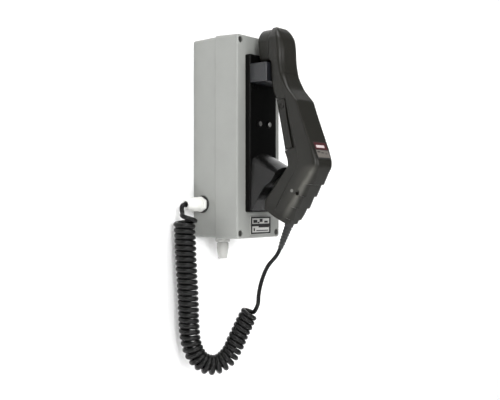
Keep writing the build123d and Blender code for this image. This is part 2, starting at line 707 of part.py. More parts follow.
def make_ptt_switch():
    """Sealed switch behind the core of the lever's channel, its button through the core's wall."""
    body = side_prism([(-130.4, 11.0), (-134.4, -7.0), (-141.0, -5.5), (-137.0, 12.5)], 5.0)
    return body + make_button(1.5)


def make_ptt_spring():
    """Outer shape of the spring that holds the lever out, in the gap between core and lever."""
    seat = Plane(origin=SPRING_SEAT, x_dir=(1, 0, 0), z_dir=LEVER_NORMAL)
    return extrude(seat * (Circle(4.0) - Circle(3.2)), amount=SPRING_LENGTH)


def make_grip_screws():
    """Small countersunk screws in both sides of the lower arm."""
    side = HANDSET_HALF_WIDTH
    screws = []
    for sign in (-1, 1):
        head = rod_across(-137.0, -66.6, 2.0, sign * (side - 1.2), sign * (side + 0.1))
        shank = rod_across(-137.0, -66.6, 1.0, sign * (side - 4.8), sign * (side - 1.2))
        screws.append(head + shank)
    return group(screws)


def make_handset_label():
    """Thin label on the outer face above the elbow."""
    lower = (-170.42, -27.5)
    upper = (-162.04, -7.4)
    out = (-0.46, 0.195)
    points = [lower, upper, (upper[0] + out[0], upper[1] + out[1]), (lower[0] + out[0], lower[1] + out[1])]
    return side_prism(points, 12.0)


RELIEF_TOP = (-120.3, -105.0)
RELIEF_END = (-105.7, -136.6)
RELIEF_RADII = (5.2, 3.3)
RELIEF_RIBS = 6
RELIEF_RIB_START = 8.0
RELIEF_RIB_PITCH = 4.0


def relief_axis():
    """Unit vector (Y, Z) down the strain relief."""
    dy = RELIEF_END[0] - RELIEF_TOP[0]
    dz = RELIEF_END[1] - RELIEF_TOP[1]
    length = math.hypot(dy, dz)
    return dy / length, dz / length, length


def make_strain_relief():
    """Tapered sleeve with ribs, from the foot of the handset to the cord."""
    axis_y, axis_z, length = relief_axis()
    base = Plane(origin=(0, RELIEF_TOP[0], RELIEF_TOP[1]), x_dir=(1, 0, 0), z_dir=(0, axis_y, axis_z))
    sleeve = loft([base * Circle(RELIEF_RADII[0]), base.offset(length) * Circle(RELIEF_RADII[1])])
    taper = (RELIEF_RADII[0] - RELIEF_RADII[1]) / length
    for index in range(RELIEF_RIBS):
        start = RELIEF_RIB_START + RELIEF_RIB_PITCH * index
        radius = RELIEF_RADII[0] - taper * start + 0.35
        sleeve += extrude(base.offset(start) * Circle(radius), amount=RELIEF_RIB_PITCH * 0.5)
    return sleeve


# ---------------------------------------------------------------- cord
# Hand-laid route, from the cord gland through the coil to the strain relief.
GLAND_LEAD_ROUTE = [
    (-73.1, -15.5, -83.0), (-78.7, -15.5, -83.2), (-81.3, -16.1, -88.2), (-80.9, -17.3, -94.0),
    (-79.11, -18.52, -98.0), (-79.0, -18.6, -101.5)]
COIL_ROUTE = [
    (-79.0, -18.6, -101.5), (-77.6, -19.6, -147.5), (-74.9, -21.4, -196.0), (-74.2, -22.0, -240.0),
    (-70.8, -26.0, -263.5), (-62.4, -35.5, -277.5), (-50.8, -48.6, -280.5), (-41.2, -59.4, -269.0),
    (-33.4, -68.2, -240.5), (-23.05, -79.95, -208.5)]
HANDSET_LEAD_ROUTE = [
    (-19.14, -84.35, -211.4), (-18.4, -85.2, -208.5), (-18.2, -85.5, -196.5), (-16.4, -87.3, -182.0),
    (-13.6, -90.4, -169.0), (-9.4, -94.2, -157.0), (0.0, -101.46, -145.66), (0.0, -105.68, -136.65)]


def turn_angles(points):
    """Degrees that the route turns at each inner point."""
    angles = []
    for before, here, after in zip(points, points[1:], points[2:]):
        angles.append((Vector(*here) - Vector(*before)).get_angle(Vector(*after) - Vector(*here)))
    return angles


def run_lengths(points):
    """Length of each straight run."""
    return [(Vector(*b) - Vector(*a)).length for a, b in zip(points, points[1:])]


def corner_radii(points):
    """Largest arc that the two runs at each corner leave room for."""
    runs = run_lengths(points)
    angles = turn_angles(points)
    return [0.45 * min(a, b) / math.tan(math.radians(turn) / 2) for a, b, turn in zip(runs, runs[1:], angles)]


def cord_tube(name, points, radius):
    """Straight runs joined by tangent arcs, swept with a round section."""
    radii = corner_radii(points)
    path = FilletPolyline(*points, radius=radii)
    section = Plane(origin=path @ 0, z_dir=path % 0) * Circle(radius)
    tube = sweep(section, path=path)
    exact = math.pi * radius ** 2 * path.length
    print(name, "radii", [round(r, 1) for r in radii], "turns", [round(a) for a in turn_angles(points)])
    print(name, "length", round(path.length, 1), "volume ratio", round(tube.volume / exact, 4))
    return tube


def make_cord_tail(gland_tip_x):
    """The cord inside its gland and the enclosure, down to a bare end at the terminal block."""
    return rod_across(-GLAND_DEPTH, GLAND_HEIGHT_Z, CORD_RADIUS, gland_tip_x, -BOX_HALF_WIDTH + WALL + 12)


# ---------------------------------------------------------------- build
def main():
    os.makedirs("parts", exist_ok=True)
    save("rear_box", make_rear_box())
    save("lid", make_lid())
    save("lid_gasket", make_seal_ring(PARTING_DEPTH - SEAL_DEPTH, PARTING_DEPTH))
    save("lid_screws", make_lid_screws())
    save("lid_inserts", make_lid_inserts())
    save("cradle_tray", make_cradle_tray())
    save("earpiece_rest", make_earpiece_rest())
    save("mouthpiece_rest", make_mouthpiece_rest())
    save("tray_screws", make_tray_screws())
    save("tray_nuts", make_tray_nuts())
    save("hook_plunger", make_hook_plunger())
    save("hook_spring", make_hook_spring())
    save("hook_switch", make_hook_switch())
    save("nameplate", make_nameplate())
    save("terminal_board", make_terminal_board())
    save("board_pillars", make_board_pillars())
    save("board_screws", make_board_screws())
    save("terminal_block", make_terminal_block())
    gland_tip_x = save_glands()
    print("gland tip", gland_tip_x)
    outer, inner = make_handset_shells()
    save("handset_outer_shell", outer)
    save("handset_inner_shell", inner)
    save("ptt_lever", make_ptt_lever())
    save("ptt_pin", make_ptt_pin())
    save("ptt_switch", make_ptt_switch())
    save("ptt_spring", make_ptt_spring())
    save("earpiece_cap", make_earpiece_cap())
    save("receiver_capsule", make_receiver_capsule())
    save("receiver_gasket", make_receiver_gasket())
    save("mouthpiece_cap", make_mouthpiece_cap())
    save("microphone_capsule", make_microphone_capsule())
    save("microphone_gasket", make_microphone_gasket())
    save("handset_board", make_handset_board())
    save("grip_screws", make_grip_screws())
    save("handset_label", make_handset_label())
    save("strain_relief", make_strain_relief())
    save("cord_tail", make_cord_tail(gland_tip_x))
    save("cord_gland_lead", cord_tube("cord_gland_lead", GLAND_LEAD_ROUTE, CORD_RADIUS))
    save("cord_coil", cord_tube("cord_coil", COIL_ROUTE, COIL_RADIUS))
    save("cord_handset_lead", cord_tube("cord_handset_lead", HANDSET_LEAD_ROUTE, CORD_RADIUS))


main()
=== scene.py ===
"""Wall-mounted push-to-talk handset station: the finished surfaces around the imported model.

Outlines are written in millimetres and become metres as they are made into meshes.
+X is to the right seen from the front, +Z is up, and -Y points from the wall into the room.
"""
import json
import math

import bmesh
import bpy
from mathutils import Matrix, Vector


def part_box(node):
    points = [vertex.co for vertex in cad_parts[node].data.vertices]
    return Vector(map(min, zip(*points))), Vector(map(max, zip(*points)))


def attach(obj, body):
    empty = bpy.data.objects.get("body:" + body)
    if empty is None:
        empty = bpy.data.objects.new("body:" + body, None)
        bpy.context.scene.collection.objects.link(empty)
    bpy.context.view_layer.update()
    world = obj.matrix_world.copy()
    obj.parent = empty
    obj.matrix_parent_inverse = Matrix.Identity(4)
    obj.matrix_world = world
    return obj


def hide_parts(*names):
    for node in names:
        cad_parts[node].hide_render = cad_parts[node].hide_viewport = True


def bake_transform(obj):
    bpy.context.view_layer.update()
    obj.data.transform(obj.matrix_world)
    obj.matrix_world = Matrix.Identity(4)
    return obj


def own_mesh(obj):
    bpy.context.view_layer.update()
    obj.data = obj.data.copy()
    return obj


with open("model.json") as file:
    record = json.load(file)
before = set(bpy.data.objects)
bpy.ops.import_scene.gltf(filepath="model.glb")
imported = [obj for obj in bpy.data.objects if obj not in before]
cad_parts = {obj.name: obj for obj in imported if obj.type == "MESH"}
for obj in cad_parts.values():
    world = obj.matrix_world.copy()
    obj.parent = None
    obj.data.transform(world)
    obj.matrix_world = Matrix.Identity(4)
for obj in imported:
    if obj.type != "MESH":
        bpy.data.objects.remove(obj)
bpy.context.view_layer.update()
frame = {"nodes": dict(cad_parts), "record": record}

MM = 0.001


# ---------------------------------------------------------------- camera
CAMERA_PLACE = (-0.8195, -0.7221, -0.0777)
CAMERA_TURN = (math.radians(90), 0, math.radians(-50.97))
CAMERA_LENS = 60.13


def make_camera():
    """Level view from the front left."""
    camera = bpy.data.objects.new("camera", bpy.data.cameras.new("camera"))
    bpy.context.scene.collection.objects.link(camera)
    camera.location = CAMERA_PLACE
    camera.rotation_euler = CAMERA_TURN
    camera.data.lens = CAMERA_LENS
    bpy.context.scene.camera = camera


# ---------------------------------------------------------------- material helpers
def new_material(name, colour, roughness, metallic=0.0, specular=0.5):
    """A material with its shader, ready for detail."""
    material = bpy.data.materials.new(name)
    material.use_nodes = True
    shader = material.node_tree.nodes["Principled BSDF"]
    shader.inputs["Base Color"].default_value = (*colour, 1)
    shader.inputs["Roughness"].default_value = roughness
    shader.inputs["Metallic"].default_value = metallic
    shader.inputs["Specular IOR Level"].default_value = specular
    return material


def shader_of(material):
    """The material's own shader node."""
    return material.node_tree.nodes["Principled BSDF"]


def add_node(material, kind, **inputs):
    """A node with its named inputs set or linked."""
    node = material.node_tree.nodes.new(kind)
    for name, value in inputs.items():
        socket = node.inputs[name.replace("_", " ")]
        if isinstance(value, bpy.types.NodeSocket):
            material.node_tree.links.new(value, socket)
        else:
            socket.default_value = value
    return node


def link(material, source, target):
    """Join two sockets of the material's tree."""
    material.node_tree.links.new(source, target)


def object_place(material):
    """The point's place in the object's own coordinates."""
    return add_node(material, "ShaderNodeTexCoord").outputs["Object"]


def noise(material, place, scale, detail=2.0, roughness=0.5):
    """Noise with a scale in cycles per metre."""
    node = add_node(material, "ShaderNodeTexNoise", Vector=place, Scale=scale, Detail=detail)
    node.inputs["Roughness"].default_value = roughness
    return node.outputs["Fac"]


def ramp(material, factor, stops):
    """A colour ramp from (position, colour) stops."""
    node = material.node_tree.nodes.new("ShaderNodeValToRGB")
    link(material, factor, node.inputs["Fac"])
    while len(node.color_ramp.elements) < len(stops):
        node.color_ramp.elements.new(0.5)
    for element, (position, colour) in zip(node.color_ramp.elements, stops):
        element.position = position
        element.color = (*colour, 1)
    return node.outputs["Color"]


def scaled_range(material, value, low, high):
    """A 0 to 1 value moved to another range."""
    node = add_node(material, "ShaderNodeMapRange", Value=value)
    node.inputs["To Min"].default_value = low
    node.inputs["To Max"].default_value = high
    return node.outputs["Result"]


def shade(colour, factor):
    """A colour made lighter or darker."""
    return tuple(min(1.0, channel * factor) for channel in colour)


def add_bump(material, height, distance, strength=1.0):
    """Relief from a 0 to 1 height, in metres."""
    node = add_node(material, "ShaderNodeBump", Height=height, Distance=distance, Strength=strength)
    link(material, node.outputs["Normal"], shader_of(material).inputs["Normal"])
    return node


def moulded_plastic(
        name, colour, roughness, grain=1600, grain_depth=0.00006, mottle=0.06, specular=0.5):
    """Moulded plastic: spark-eroded grain, faint clouding, and roughness that follows it."""
    material = new_material(name, colour, roughness, specular=specular)
    place = object_place(material)
    fine = noise(material, place, grain, 3.0, 0.6)
    cloud = noise(material, place, 35, 3.0)
    stops = [(0.3, shade(colour, 1 - mottle)), (0.7, shade(colour, 1 + mottle))]
    link(material, ramp(material, cloud, stops), shader_of(material).inputs["Base Color"])
    rough = scaled_range(material, cloud, roughness - 0.07, roughness + 0.07)
    link(material, rough, shader_of(material).inputs["Roughness"])
    add_bump(material, fine, grain_depth)
    return material


# ---------------------------------------------------------------- materials
GREY_PAINT = (0.25, 0.256, 0.243)
BLACK_HANDSET = (0.0132, 0.0128, 0.0107)
# Painted highlight: the lighter black laid along the grip's outer corners.
PAINTED_HIGHLIGHT_BLACK = (0.085, 0.083, 0.072)
BLACK_TRAY = (0.0025, 0.0025, 0.0024)
SLATE = (0.0085, 0.0091, 0.0112)
GLAND_WHITE = (0.76, 0.76, 0.73)
CORD_BLACK = (0.004, 0.004, 0.0039)


def print_ink(name, colour, roughness=0.4):
    """Thin printed ink with a very fine grain."""
    return moulded_plastic(name, colour, roughness, grain=3000, grain_depth=0.00002)


def handset_plastic(name, colour):
    """The handset's black plastic: a fairly coarse grain and a dull sheen."""
    return moulded_plastic(name, colour, 0.33, grain=1500, grain_depth=0.00008, specular=0.2)


def make_brushed_metal(name, colour, roughness, metallic=1.0):
    """Turned or rolled metal with fine drawn lines."""
    material = new_material(name, colour, roughness, metallic=metallic)
    place = object_place(material)
    stretch = add_node(material, "ShaderNodeMapping", Vector=place)
    stretch.inputs["Scale"].default_value = (1, 1, 9)
    lines = noise(material, stretch.outputs["Vector"], 1400, 4.0)
    link(material, scaled_range(material, lines, roughness - 0.08, roughness + 0.12),
         shader_of(material).inputs["Roughness"])
    add_bump(material, lines, 0.00002)
    return material


def make_circuit_board():
    """Green laminate with copper tracks that show through the solder mask."""
    material = new_material("green_board", (0.02, 0.16, 0.06), 0.35)
    place = object_place(material)
    tracks = add_node(material, "ShaderNodeTexBrick", Vector=place, Scale=160.0)
    tracks.inputs["Color1"].default_value = (0.015, 0.13, 0.05, 1)
    tracks.inputs["Color2"].default_value = (0.02, 0.17, 0.065, 1)
    tracks.inputs["Mortar"].default_value = (0.03, 0.24, 0.09, 1)
    link(material, tracks.outputs["Color"], shader_of(material).inputs["Base Color"])
    add_bump(material, tracks.outputs["Fac"], 0.00003)
    return material


def make_cord_jacket():
    """Satin black jacket with faint extrusion streaks that run along the cord's own UV."""
    material = new_material("cord_jacket", CORD_BLACK, 0.34, specular=0.2)
    place = add_node(material, "ShaderNodeUVMap")
    stretch = add_node(material, "ShaderNodeMapping", Vector=place.outputs["UV"])
    stretch.inputs["Scale"].default_value = (4, 60, 1)
    streaks = noise(material, stretch.outputs["Vector"], 1.0, 3.0)
    stops = [(0.3, shade(CORD_BLACK, 0.8)), (0.75, shade(CORD_BLACK, 1.5))]
    link(material, ramp(material, streaks, stops), shader_of(material).inputs["Base Color"])
    link(material, scaled_range(material, streaks, 0.27, 0.42), shader_of(material).inputs["Roughness"])
    add_bump(material, streaks, 0.00004)
    return material


def make_handset_plastic_with_highlight():
    """Handset plastic with a painted highlight: lighter along the grip's outer corners, where the mesh marks
    the band.
    """
    material = handset_plastic("black_handset", BLACK_HANDSET)
    shader = shader_of(material)
    painted_highlight = add_node(material, "ShaderNodeAttribute")
    painted_highlight.attribute_name = "painted_highlight"
    place = object_place(material)
    patches = scaled_range(material, noise(material, place, 55, 3.0), 0.55, 1.25)
    amount = add_node(material, "ShaderNodeMath")
    amount.operation = "MULTIPLY"
    link(material, painted_highlight.outputs["Fac"], amount.inputs[0])
    link(material, patches, amount.inputs[1])
    # Painted highlight: mix the lighter black in where the band's attribute is high.
    highlight_mix = material.node_tree.nodes.new("ShaderNodeMixRGB")
    highlight_mix.inputs["Color2"].default_value = (*PAINTED_HIGHLIGHT_BLACK, 1)
    link(material, amount.outputs[0], highlight_mix.inputs["Fac"])
    link(material, shader.inputs["Base Color"].links[0].from_socket, highlight_mix.inputs["Color1"])
    link(material, highlight_mix.outputs["Color"], shader.inputs["Base Color"])
    return material


MATERIALS = {
    "grey_housing": moulded_plastic(
        "grey_housing", GREY_PAINT, 0.42, grain=900, grain_depth=0.00005, mottle=0.035),
    "black_seal": moulded_plastic("black_seal", (0.012, 0.012, 0.012), 0.65, grain=2200),
    "steel_screw": make_brushed_metal("steel_screw", (0.62, 0.61, 0.59), 0.3),
    "brass": make_brushed_metal("brass", (0.72, 0.5, 0.2), 0.32),
    "black_cradle": moulded_plastic("black_cradle", BLACK_TRAY, 0.3, grain=1300, specular=0.1),
    "slate_rest": moulded_plastic("slate_rest", SLATE, 0.36, grain=1300),
    "green_board": make_circuit_board(),
    "dark_part": moulded_plastic("dark_part", (0.02, 0.02, 0.022), 0.45),
    "white_gland": moulded_plastic(
        "white_gland", GLAND_WHITE, 0.38, grain=1100, grain_depth=0.00003, mottle=0.02),
    "pale_gland": moulded_plastic(
        "pale_gland", shade(GLAND_WHITE, 0.62), 0.42, grain=1100, mottle=0.03),
    "black_handset": make_handset_plastic_with_highlight(),
    "black_lever": handset_plastic("black_lever", shade(BLACK_HANDSET, 0.85)),
    "cord_jacket": make_cord_jacket(),
    "plate": make_brushed_metal("plate", (0.62, 0.62, 0.6), 0.5, metallic=0.55),
    "label": moulded_plastic("label", (0.02, 0.02, 0.02), 0.4),
    "print_black": print_ink("print_black", (0.012, 0.012, 0.012)),
    "dark_screw": make_brushed_metal("dark_screw", (0.16, 0.16, 0.15), 0.32),
    "black_screw": make_brushed_metal("black_screw", (0.012, 0.012, 0.012), 0.4),
    "wedge_plastic": moulded_plastic(
        "wedge_plastic", shade(BLACK_TRAY, 1.6), 0.24, grain=1300, specular=0.28),
    "print_red": print_ink("print_red", (0.045, 0.008, 0.01)),
    "print_white": print_ink("print_white", (0.5, 0.42, 0.42)),
    "print_grey": print_ink("print_grey", (0.11, 0.1, 0.09), 0.45),
}

# Screws and pins drawn dark, unlike the other steel parts: a dark finish on the talk pin and the grip and
# tray screws, and painted shade on the lid screws down in their corner recesses.
DARK_FINISH_AND_RECESS_SHADE = {
    "tray_screws": "black_screw", "ptt_pin": "dark_screw", "grip_screws": "dark_screw",
    # lid_screws: painted shade of their corner recesses.
    "lid_screws": "dark_screw"}


def dress_cad_nodes():
    """Give every CAD node the material of its slot in the record, or its own finish."""
    for row in frame["record"]["subparts"]:
        material = MATERIALS[DARK_FINISH_AND_RECESS_SHADE.get(row["node"], row["material_slot"])]
        node = frame["nodes"][row["node"]]
        node.data.materials.clear()
        node.data.materials.append(material)


# ---------------------------------------------------------------- mesh helpers
SMOOTH_LIMIT = math.radians(32)
MERGE_DISTANCE = 2e-6


def smooth_faces(bm):
    """Smooth faces that meet at a sharp line wherever they turn enough."""
    for face in bm.faces:
        face.smooth = True
    for edge in bm.edges:
        edge.smooth = len(edge.link_faces) == 2 and edge.calc_face_angle() < SMOOTH_LIMIT


def finish_mesh(name, bm):
    """Merge doubles, point the faces outwards, mark the sharp edges and make the mesh."""
    bmesh.ops.remove_doubles(bm, verts=bm.verts, dist=MERGE_DISTANCE)
    bmesh.ops.dissolve_degenerate(bm, edges=bm.edges, dist=MERGE_DISTANCE / 2)
    bmesh.ops.recalc_face_normals(bm, faces=bm.faces)
    smooth_faces(bm)
    mesh = bpy.data.meshes.new(name)
    bm.to_mesh(mesh)
    bm.free()
    return mesh


def mark_edges(mesh):
    """Mark a mesh's sharp edges afresh after a cut."""
    bm = bmesh.new()
    bm.from_mesh(mesh)
    smooth_faces(bm)
    bm.to_mesh(mesh)
    bm.free()


def add_piece(name, mesh, slot, body, replaced=(), finish=None):
    """An object for the mesh, in its slot's material or its own finish, riding on its body if it has one."""
    piece = bpy.data.objects.new(name, mesh)
    bpy.context.scene.collection.objects.link(piece)
    mesh.materials.clear()
    mesh.materials.append(MATERIALS[finish or slot])
    if body:
        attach(piece, body)
    if replaced:
        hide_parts(*replaced)
    return piece


def soften(piece, width, segments=2, limit=40):
    """A small bevel on the sharp edges, applied."""
    bevel = piece.modifiers.new("soften", "BEVEL")
    bevel.width = width * MM
    bevel.segments = segments
    bevel.limit_method = "ANGLE"
    bevel.angle_limit = math.radians(limit)
    bevel.harden_normals = False
    bake_modifiers(piece)


def bake_modifiers(piece):
    """Turn the piece with its modifiers into a plain mesh."""
    depsgraph = bpy.context.evaluated_depsgraph_get()
    mesh = bpy.data.meshes.new_from_object(piece.evaluated_get(depsgraph))
    piece.modifiers.clear()
    piece.data = mesh


def make_repeat_tree():
    """Geometry nodes that repeat a shape: each copy is moved, turned and shrunk a step further."""
    tree = bpy.data.node_groups.new("repeat", "GeometryNodeTree")
    sockets = (
        ("Shape", "NodeSocketGeometry"), ("Count", "NodeSocketInt"), ("Step", "NodeSocketVector"),
        ("Turn", "NodeSocketVector"), ("Shrink", "NodeSocketFloat"), ("Finish", "NodeSocketMaterial"))
    for label, kind in sockets:
        tree.interface.new_socket(label, in_out="INPUT", socket_type=kind)
    tree.interface.new_socket("Result", in_out="OUTPUT", socket_type="NodeSocketGeometry")
    given = tree.nodes.new("NodeGroupInput").outputs
    index = tree.nodes.new("GeometryNodeInputIndex").outputs[0]
    points = tree.nodes.new("GeometryNodePoints")
    place = tree.nodes.new("ShaderNodeVectorMath")
    turn = tree.nodes.new("ShaderNodeVectorMath")
    place.operation = turn.operation = "SCALE"
    size = tree.nodes.new("ShaderNodeMath")
    size.operation = "MULTIPLY_ADD"
    less = tree.nodes.new("ShaderNodeMath")
    less.operation = "MULTIPLY"
    less.inputs[1].default_value = -1
    size.inputs[2].default_value = 1
    copies = tree.nodes.new("GeometryNodeInstanceOnPoints")
    real = tree.nodes.new("GeometryNodeRealizeInstances")
    finish = tree.nodes.new("GeometryNodeSetMaterial")
    result = tree.nodes.new("NodeGroupOutput")
    for source, target in (
            (given["Count"], points.inputs["Count"]),
            (given["Step"], place.inputs[0]), (index, place.inputs["Scale"]),
            (given["Turn"], turn.inputs[0]), (index, turn.inputs["Scale"]),
            (given["Shrink"], less.inputs[0]), (less.outputs[0], size.inputs[0]), (index, size.inputs[1]),
            (place.outputs[0], points.inputs["Position"]), (points.outputs[0], copies.inputs["Points"]),
            (given["Shape"], copies.inputs["Instance"]), (turn.outputs[0], copies.inputs["Rotation"]),
            (size.outputs[0], copies.inputs["Scale"]), (copies.outputs[0], real.inputs[0]),
            (real.outputs[0], finish.inputs["Geometry"]), (given["Finish"], finish.inputs["Material"]),
            (finish.outputs[0], result.inputs[0])):
        tree.links.new(source, target)
    return tree


REPEAT_TREE = make_repeat_tree()


def repeated_mesh(shape, material, frame_matrix, count, step=(0, 0, 0), turn=(0, 0, 0), shrink=0.0):
    """Copies of a mesh made along the local axes and then set in place; steps are in millimetres."""
    holder = bpy.data.objects.new("repeat", shape)
    bpy.context.scene.collection.objects.link(holder)
    modifier = holder.modifiers.new("repeat", "NODES")
    modifier.node_group = REPEAT_TREE
    values = {
        "Count": count, "Step": tuple(Vector(step) * MM), "Turn": turn, "Shrink": shrink, "Finish": material}
    for item in REPEAT_TREE.interface.items_tree:
        if item.in_out == "INPUT" and item.name in values:
            modifier[item.identifier] = values[item.name]
    bake_modifiers(holder)
    mesh = holder.data
    mesh.transform(frame_matrix)
    bpy.data.objects.remove(holder)
    return mesh


def frame_at(origin, axis, side=(1, 0, 0)):
    """Matrix of a local frame in metres: its Z along the axis and its X near the side vector."""
    forward = Vector(axis).normalized()
    across = (Vector(side) - forward * Vector(side).dot(forward)).normalized()
    matrix = Matrix((across, forward.cross(across), forward)).transposed().to_4x4()
    matrix.translation = Vector(origin) * MM
    return matrix


def block_mesh(name, size, centre=(0, 0, 0), edge=0.2):
    """A bar with rounded edges, in millimetres."""
    bm = bmesh.new()
    bmesh.ops.create_cube(bm, size=1)
    for vertex in bm.verts:
        vertex.co = (Vector(centre) + Vector(a * b for a, b in zip(vertex.co, size))) * MM
    bmesh.ops.bevel(bm, geom=bm.edges[:], offset=edge * MM, segments=2, affect="EDGES")
    return finish_mesh(name, bm)


def joined(name, meshes):
    """Several meshes as one."""
    bm = bmesh.new()
    for mesh in meshes:
        bm.from_mesh(mesh)
    result = bpy.data.meshes.new(name)
    bm.to_mesh(result)
    bm.free()
    return result


def loft(bm, rings, caps=(True, True)):
    """Skin a row of closed rings, given in millimetres, with flat ends."""
    rows = [[bm.verts.new(Vector(point) * MM) for point in ring] for ring in rings]
    count = len(rows[0])
    for row, following in zip(rows, rows[1:]):
        for index in range(count):
            after = (index + 1) % count
            bm.faces.new((row[index], row[after], following[after], following[index]))
    if caps[0]:
        bm.faces.new(rows[0])
    if caps[1]:
        bm.faces.new(rows[-1])


def loft_mesh(name, rings, caps=(True, True)):
    """A mesh skinned over a row of rings."""
    bm = bmesh.new()
    loft(bm, rings, caps)
    return finish_mesh(name, bm)


def turned_mesh(name, profile, origin, axis, segments=48):
    """A lathe shape: (radius, distance) pairs about an axis, in mm; an outline that closes makes a ring."""
    turn = Vector(axis).to_track_quat("Z", "Y").to_matrix()
    rings = []
    for radius, distance in profile:
        ring = []
        for index in range(segments):
            angle = 2 * math.pi * index / segments
            local = Vector((radius * math.cos(angle), radius * math.sin(angle), distance))
            ring.append(Vector(origin) + turn @ local)
        rings.append(ring)
    open_outline = profile[0] != profile[-1]
    return loft_mesh(name, rings, (open_outline, open_outline))


def rounded(points, reaches, steps=5):
    """A line of points of any size whose inner corners become curves that start a reach away."""
    corners = [Vector(point) for point in points]
    line = [corners[0]]
    for before, here, after, reach in zip(corners, corners[1:], corners[2:], reaches[1:]):
        start = min(reach / (before - here).length, 0.48)
        end = min(reach / (after - here).length, 0.48)
        first = here + (before - here) * start
        last = here + (after - here) * end
        for step in range(steps + 1):
            t = step / steps
            line.append(first * (1 - t) ** 2 + here * (2 * t * (1 - t)) + last * t ** 2)
    line.append(corners[-1])
    return line


# ---------------------------------------------------------------- cord
CORD_SIDES = 12
GLAND_EXIT = (-73.1, -15.5, -83.0)
GLAND_LEAD = [GLAND_EXIT, (-78.7, -15.5, -83.2), (-81.3, -16.1, -88.2), (-80.9, -17.3, -94.0)]
COIL_ROUTE = [
    (-79.0, -18.6, -101.5), (-77.6, -19.6, -147.5), (-74.9, -21.4, -196.0), (-74.2, -22.0, -240.0),
    (-70.8, -26.0, -263.5), (-63.4, -34.7, -277.5), (-52.2, -47.5, -280.5), (-41.2, -59.4, -269.0),
    (-33.4, -68.2, -240.5), (-23.05, -79.95, -208.5)]
HANDSET_LEAD = [
    (-18.0, -85.7, -205.0), (-18.2, -85.5, -196.5), (-16.4, -87.3, -182.0), (-13.6, -90.4, -169.0),
    (-9.4, -94.2, -157.0), (0.0, -101.46, -145.66), (0.0, -105.68, -136.65)]
COIL_START_SIDE = (0.63, -0.777, 0.0)
COIL_FIRST_ANGLE = math.radians(-110)
COIL_LAST_ANGLE = math.radians(165)
POINTS_PER_TURN = 16
# Winding radius against the share of the coil's length.
COIL_RADII = [(0.0, 10.4), (0.12, 10.2), (0.5, 9.8), (0.75, 9.1), (1.0, 8.3)]
# Jacket radius against the share of the whole length.
JACKET_RADII = [(0.0, 2.8), (0.012, 2.85), (0.03, 3.25), (0.94, 3.25), (0.965, 2.6), (1.0, 2.5)]
# Pitch of the turns against the share of the coil's length.
COIL_PITCHES = [(0.0, 6.8), (0.45, 6.8), (0.5, 7.4), (0.56, 7.2), (0.6, 6.8), (0.8, 6.6), (1.0, 6.3)]
COIL_WANDER = 0.15
# The first turn comes in from the gland: how far round, how far out and how much higher it starts.
FIRST_TURN_SWING = math.radians(110)
FIRST_TURN_REACH = 3.5
FIRST_TURN_RISE = 5.0


def spline_points(name, points, fineness):
    """Evenly smooth points along a NURBS line through the given control points, in metres."""
    curve = bpy.data.curves.new(name, "CURVE")
    curve.dimensions = "3D"
    spline = curve.splines.new("NURBS")
    spline.points.add(len(points) - 1)
    for control, point in zip(spline.points, points):
        control.co = (*(Vector(point) * MM), 1)
    spline.order_u = 3
    spline.use_endpoint_u = True
    spline.resolution_u = fineness
    holder = bpy.data.objects.new(name, curve)
    mesh = bpy.data.meshes.new_from_object(holder)
    line = [vertex.co.copy() for vertex in mesh.vertices]
    bpy.data.objects.remove(holder)
    bpy.data.meshes.remove(mesh)
    return line


def table_value(table, share):
    """Straight-line reading of a (share, value) table."""
    for (low, first), (high, last) in zip(table, table[1:]):
        if share <= high:
            return first + (last - first) * (share - low) / (high - low)
    return table[-1][1]


def travelled(line):
    """Distance along a line at each of its points."""
    distances = [0.0]
    for before, here in zip(line, line[1:]):
        distances.append(distances[-1] + (here - before).length)
    return distances


def carried_frames(line, first_side):
    """A side vector at each point, carried along the line without twist, with the direction there."""
    frames = []
    side = Vector(first_side)
    for index in range(len(line)):
        before = line[max(index - 1, 0)]
        after = line[min(index + 1, len(line) - 1)]
        forward = (after - before).normalized()
        side = (side - forward * side.dot(forward)).normalized()
        frames.append((forward, side.copy()))
    return frames


def coil_points():
    """Turns of the curly stretch, wound round the coil's own line, in millimetres."""
    spine = spline_points("coil_line", COIL_ROUTE, 24)
    frames = carried_frames(spine, COIL_START_SIDE)
    distances = travelled(spine)
    length = distances[-1] / MM
    angle = COIL_FIRST_ANGLE
    distance = 0.0
    step = 2 * math.pi / POINTS_PER_TURN
    points = []
    index = 0
    while distance < length:
        while index < len(distances) - 2 and distances[index + 1] / MM < distance:
            index += 1
        share = distance / length
        local = (distance * MM - distances[index]) / (distances[index + 1] - distances[index])
        centre = spine[index].lerp(spine[index + 1], local) / MM
        forward, side = frames[index]
        back = side.cross(forward)
        turned = angle - COIL_FIRST_ANGLE
        radius = table_value(COIL_RADII, share) + COIL_WANDER * math.sin(1.7 * angle / (2 * math.pi))
        opening = max(0.0, 1 - abs(turned - FIRST_TURN_SWING) / FIRST_TURN_SWING)
        lead_in = max(0.0, 1 - turned / FIRST_TURN_SWING)
        radius = radius * (1 - 0.35 * lead_in) + FIRST_TURN_REACH * opening
        centre -= forward * FIRST_TURN_RISE * lead_in
        points.append(tuple(centre + radius * (math.cos(angle) * side + math.sin(angle) * back)))
        angle += step
        distance += table_value(COIL_PITCHES, share) / POINTS_PER_TURN
    whole_turns = math.floor((angle - COIL_LAST_ANGLE) / (2 * math.pi))
    extra = round((angle - COIL_LAST_ANGLE - whole_turns * 2 * math.pi) / step)
    return points[:len(points) - extra]


